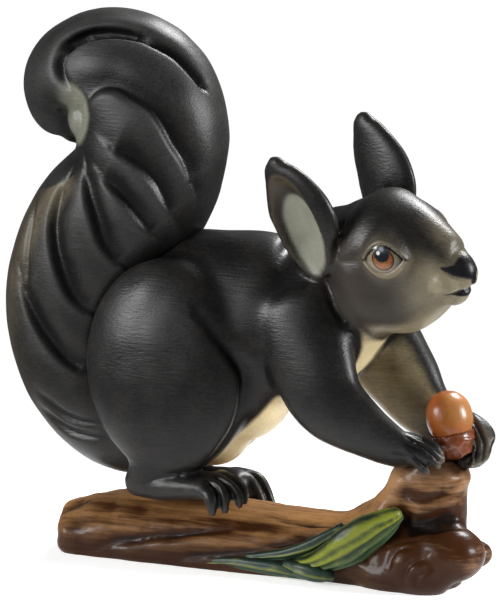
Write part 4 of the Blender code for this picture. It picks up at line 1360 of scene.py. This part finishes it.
class CARVING_OT_log(Operator):
    """Carve the log and its stump, with gouges, folds and a knot, and stain it"""

    bl_idname = "carving.log"
    bl_label = "Carve the Log"

    def execute(self, context):
        settings = context.scene.carving.log
        voxel = settings.skin / MM
        bm = bmesh.new()
        loft(bm, LOG, cap=0.3, sides=40, per_span=6)
        loft(bm, STUMP, cap=0.25, sides=40, per_span=6)
        loft(bm, FLARE, cap=0.3, sides=40, per_span=6)
        for root in ROOTS:
            ellipsoid(bm, **root)
        log = relaxed(fused(object_from(bm, "log_carved"), voxel), 3.4, voxel)
        co = corners_of(log)
        for path, depth, width, lean in LOG_CUTS:
            press(co, normals_of(log), path, depth, width, lean)
            set_corners(log, co)
        # Long shallow gouges run along the log, and the left end is chopped into knobs.
        gouges = lumps(np.column_stack([co[:, 0] * 0.16, co[:, 1], co[:, 2]]), 4.2, 3) * (co[:, 0] < 50)
        knobs = lumps(co, 9, 5) * ramp(co[:, 0], -48, -62)
        uneven = gouges * 0.55 + knobs * 1.3 + lumps(co, 3.5, 4) * 0.12 + lumps(co, 8, 7) * 0.35
        co = co + normals_of(log) * uneven[:, None]
        co[:, 2] = np.maximum(co[:, 2], 0.05)
        set_corners(log, co)
        bm = bmesh.new()
        bm.from_mesh(log.data)
        cut_flat(bm, (0, 0, SOLE_CUT), (0, 0, -1))
        bmesh.ops.translate(bm, vec=(0, 0, -SOLE_CUT), verts=bm.verts)
        bm.to_mesh(log.data)
        bm.free()
        co = corners_of(log)
        x, _, z = co.T
        keep(log, "stump", ramp(x, 44, 56))
        middle = ramp(np.abs(z - 14 - 0.05 * x), 7, 2) * ramp(x, -66, -40) * ramp(x, 46, 30)
        left_of_stump = ramp(x, 62, 52) * ramp(z, 22, 30)
        # Painted light: the stain is lighter along the log's top, where the light falls.
        lit_top = ramp(z, 16.5, 20) * ramp(x, 50, 40)
        root = ramp(x, 48, 56) * ramp(z, 32, 25)
        keep(log, "gold", np.maximum(middle * 0.12, left_of_stump * 0.8) + 0.6 * lit_top - 0.6 * root)
        keep(log, "shade", ramp(z, 36, 42) * 0.75)
        # Painted shade: darker towards the bottom of the log.
        keep(log, "low", ramp(z, 15, 3))
        keep(log, "hollow", hollows(log, 5.5, voxel))
        finished(log, stained_log(settings), "stained_log", "log")
        return {"FINISHED"}


LEAF_SIDE = (0.2, -0.55, 1)  # the way a leaf lies across the log
# The crests along a leaf: place from its lower edge at -1 to its upper edge at 1, and width.
LEAF_CRESTS = ((0.70, 0.22), (0.18, 0.17), (-0.32, 0.15), (-0.78, 0.2))


class CARVING_OT_leaves(Operator):
    """Carve the ridged leaves that lie against the log and paint them"""

    bl_idname = "carving.leaves"
    bl_label = "Carve the Leaves"

    def execute(self, context):
        settings = context.scene.carving.leaves
        for name, stations in LEAVES.items():
            bm = bmesh.new()
            loft(bm, stations, side=LEAF_SIDE, sides=72, per_span=24)
            leaf = object_from(bm, f"{name}_carved")
            co = corners_of(leaf)
            broad = name == "leaf_broad"
            station, angle, _ = ring_place(co, stations, side=LEAF_SIDE)
            ends = ramp(station, 0.0, 0.5) * ramp(station, len(stations) - 1, len(stations) - 1.6)
            across = np.cos(np.radians(angle)) + 0.14 * lumps(co * 0.5, 4, 8)
            crests = LEAF_CRESTS if broad else LEAF_CRESTS[1::2]
            wave = sum(np.exp(-(((across - at) / wide) ** 2)) for at, wide in crests)
            ridge = settings.ridge / MM * (wave - 0.5) * ends * min(1.0, max(s[3] for s in stations) / 6)
            set_corners(leaf, co + normals_of(leaf) * ridge[:, None])
            keep(leaf, "ridge", np.clip(wave, 0, 1) * (1.0 if broad else 0.6))
            keep(leaf, "cool", ramp(across, 0.25, -0.45))
            keep(leaf, "edge", ramp(np.abs(across), 0.9, 1.0) * 0.7)
            material = painted_leaf(f"acrylic on {name.replace('_', ' ')}", tuple(settings.light),
                                    tuple(settings.dark))
            finished(leaf, material, "painted_leaf", name)
        return {"FINISHED"}


def turned(profile, name, sides=72):
    """A solid of revolution about Z from (radius, height) pairs, leaned as the acorn is."""
    bm = bmesh.new()
    rings = []
    for radius, height in eased(profile, 8):
        place = Matrix.Translation((0, 0, height * MM))
        made = bmesh.ops.create_circle(bm, segments=sides, radius=max(radius, 0.3) * MM, matrix=place)
        rings.append(list({e for v in made["verts"] for e in v.link_edges}))
    skin_over(bm, rings)
    lean = Matrix.Rotation(math.radians(ACORN_LEAN), 4, "Y")
    bmesh.ops.transform(bm, matrix=Matrix.Translation(Vector(ACORN_AT) * MM) @ lean, verts=bm.verts)
    return object_from(bm, name)


class CARVING_OT_acorn(Operator):
    """Turn the acorn's nut, carve its dented cup and paint both"""

    bl_idname = "carving.acorn"
    bl_label = "Make the Acorn"

    def execute(self, context):
        settings = context.scene.carving.acorn
        nut = turned(ACORN_NUT, "acorn_nut_painted")
        co = corners_of(nut)
        # Painted light: the nut is paler on the side that faces up and along +X.
        pale = ramp(normals_of(nut) @ unit(np.array([0.8, -0.25, 0.55])), 0.35, 0.95)
        keep(nut, "pale", pale)
        finished(nut, painted_nut(settings), "painted_nut", "acorn_nut")
        cup = turned(ACORN_CUP, "acorn_cup_painted")
        co = corners_of(cup)
        dents = -np.abs(lumps(co, 4.0, 6)) * 1.6 + 0.25
        set_corners(cup, co + normals_of(cup) * np.clip(dents, -0.3, 0.25)[:, None])
        keep(cup, "hollow", hollows(cup, 2.1, 0.6))
        finished(cup, painted_cup(settings), "painted_cup", "acorn_cup")
        return {"FINISHED"}


# ---------------------------------------------------------------- the stage


AIM = (-1.1, 0, 91.4)


def soft_light(name, place, power, size, colour="ffffff"):
    """A square soft box that faces the carving. The place is in metres from it."""
    data = bpy.data.lights.new(name, "AREA")
    data.shape = "SQUARE"
    data.size = size
    data.energy = power
    data.color = linear(colour)[:3]
    light = bpy.data.objects.new(name, data)
    bpy.context.scene.collection.objects.link(light)
    aim = Vector(AIM) * MM
    light.location = aim + Vector(place)
    light.rotation_euler = (-Vector(place)).to_track_quat("-Z", "Y").to_euler()
    return light


class CARVING_OT_stage(Operator):
    """Lay the pale floor, set the soft lights and place the camera"""

    bl_idname = "carving.stage"
    bl_label = "Set the Stage"

    def execute(self, context):
        settings = context.scene.carving.stage
        scene = context.scene
        bm = bmesh.new()
        bmesh.ops.create_grid(bm, x_segments=8, y_segments=8, size=0.5)
        floor = object_from(bm, "floor")
        material, tree = new_material("matt painted board")
        tooth = pattern(tree, 2.0, detail=2.0)
        board = surface(tree, tuple(settings.floor), 0.8, tooth, 0.02, gleam=0.1)
        # The board fades into the white sweep round it, so that it has no edge.
        place = add(tree, "ShaderNodeTexCoord").outputs["Object"]
        away = add(tree, "ShaderNodeVectorMath", {0: place}, operation="LENGTH").outputs["Value"]
        board.inputs["Emission Color"].default_value = (1, 1, 1, 1)
        board.inputs["Emission Strength"].default_value = 0.55
        tree.links.new(between(tree, away, 0.07, 0.2, 1.0, 0.0), board.inputs["Alpha"])
        floor.data.materials.append(material)

        soft_light("key", (-1.0, -1.0, 0.35), 19.0, 0.5)
        soft_light("fill", (-0.45, -1.3, 0.13), 1.8, 0.35)
        soft_light("side", (1.33, 0.28, 0.34), 25.0, 0.4)
        soft_light("back", (0.19, 0.96, 1.06), 31.0, 0.42)

        world = bpy.data.worlds.new("studio")
        world.use_nodes = True
        world.node_tree.nodes.clear()
        tree = world.node_tree
        seen = add(tree, "ShaderNodeLightPath").outputs["Is Camera Ray"]
        strength = maths(tree, "MULTIPLY_ADD", seen, 0.88, 0.14)
        light = add(tree, "ShaderNodeBackground", {"Color": (1, 1, 1, 1), "Strength": strength})
        add(tree, "ShaderNodeOutputWorld", {"Surface": light.outputs[0]})
        scene.world = world

        lens = bpy.data.cameras.new("camera")
        lens.sensor_fit = "AUTO"
        lens.sensor_width = 36.0
        lens.lens = settings.lens
        camera = bpy.data.objects.new("camera", lens)
        scene.collection.objects.link(camera)
        a, e = settings.azimuth, settings.elevation
        back = Vector((math.sin(a) * math.cos(e), -math.cos(a) * math.cos(e), math.sin(e)))
        camera.location = Vector(AIM) * MM + back * settings.distance
        camera.rotation_euler = (-back).to_track_quat("-Z", "Y").to_euler()
        scene.camera = camera
        scene.view_settings.view_transform = "Standard"
        return {"FINISHED"}


# ---------------------------------------------------------------- the add-on


STEPS = (
    CARVING_OT_squirrel,
    CARVING_OT_tail,
    CARVING_OT_eyes,
    CARVING_OT_log,
    CARVING_OT_leaves,
    CARVING_OT_acorn,
    CARVING_OT_stage,
)


class VIEW3D_PT_carving(Panel):
    """Lists the steps of the carving"""

    bl_label = "Carved Squirrel"
    bl_space_type = "VIEW_3D"
    bl_region_type = "UI"
    bl_category = "Carving"

    def draw(self, context):
        column = self.layout.column(align=True)
        for step in STEPS:
            column.operator(step.bl_idname)


CLASSES = (
    SquirrelSettings,
    TailSettings,
    EyeSettings,
    LogSettings,
    LeafSettings,
    AcornSettings,
    StageSettings,
    CarvingSettings,
    *STEPS,
    VIEW3D_PT_carving,
)


def register():
    for each in CLASSES:
        bpy.utils.register_class(each)
    bpy.types.Scene.carving = PointerProperty(type=CarvingSettings)


def unregister():
    del bpy.types.Scene.carving
    for each in reversed(CLASSES):
        bpy.utils.unregister_class(each)


def main():
    register()
    bpy.ops.carving.squirrel()
    bpy.ops.carving.tail()
    bpy.ops.carving.eyes()
    bpy.ops.carving.log()
    bpy.ops.carving.leaves()
    bpy.ops.carving.acorn()
    bpy.ops.carving.stage()


if __name__ == "__main__":
    main()
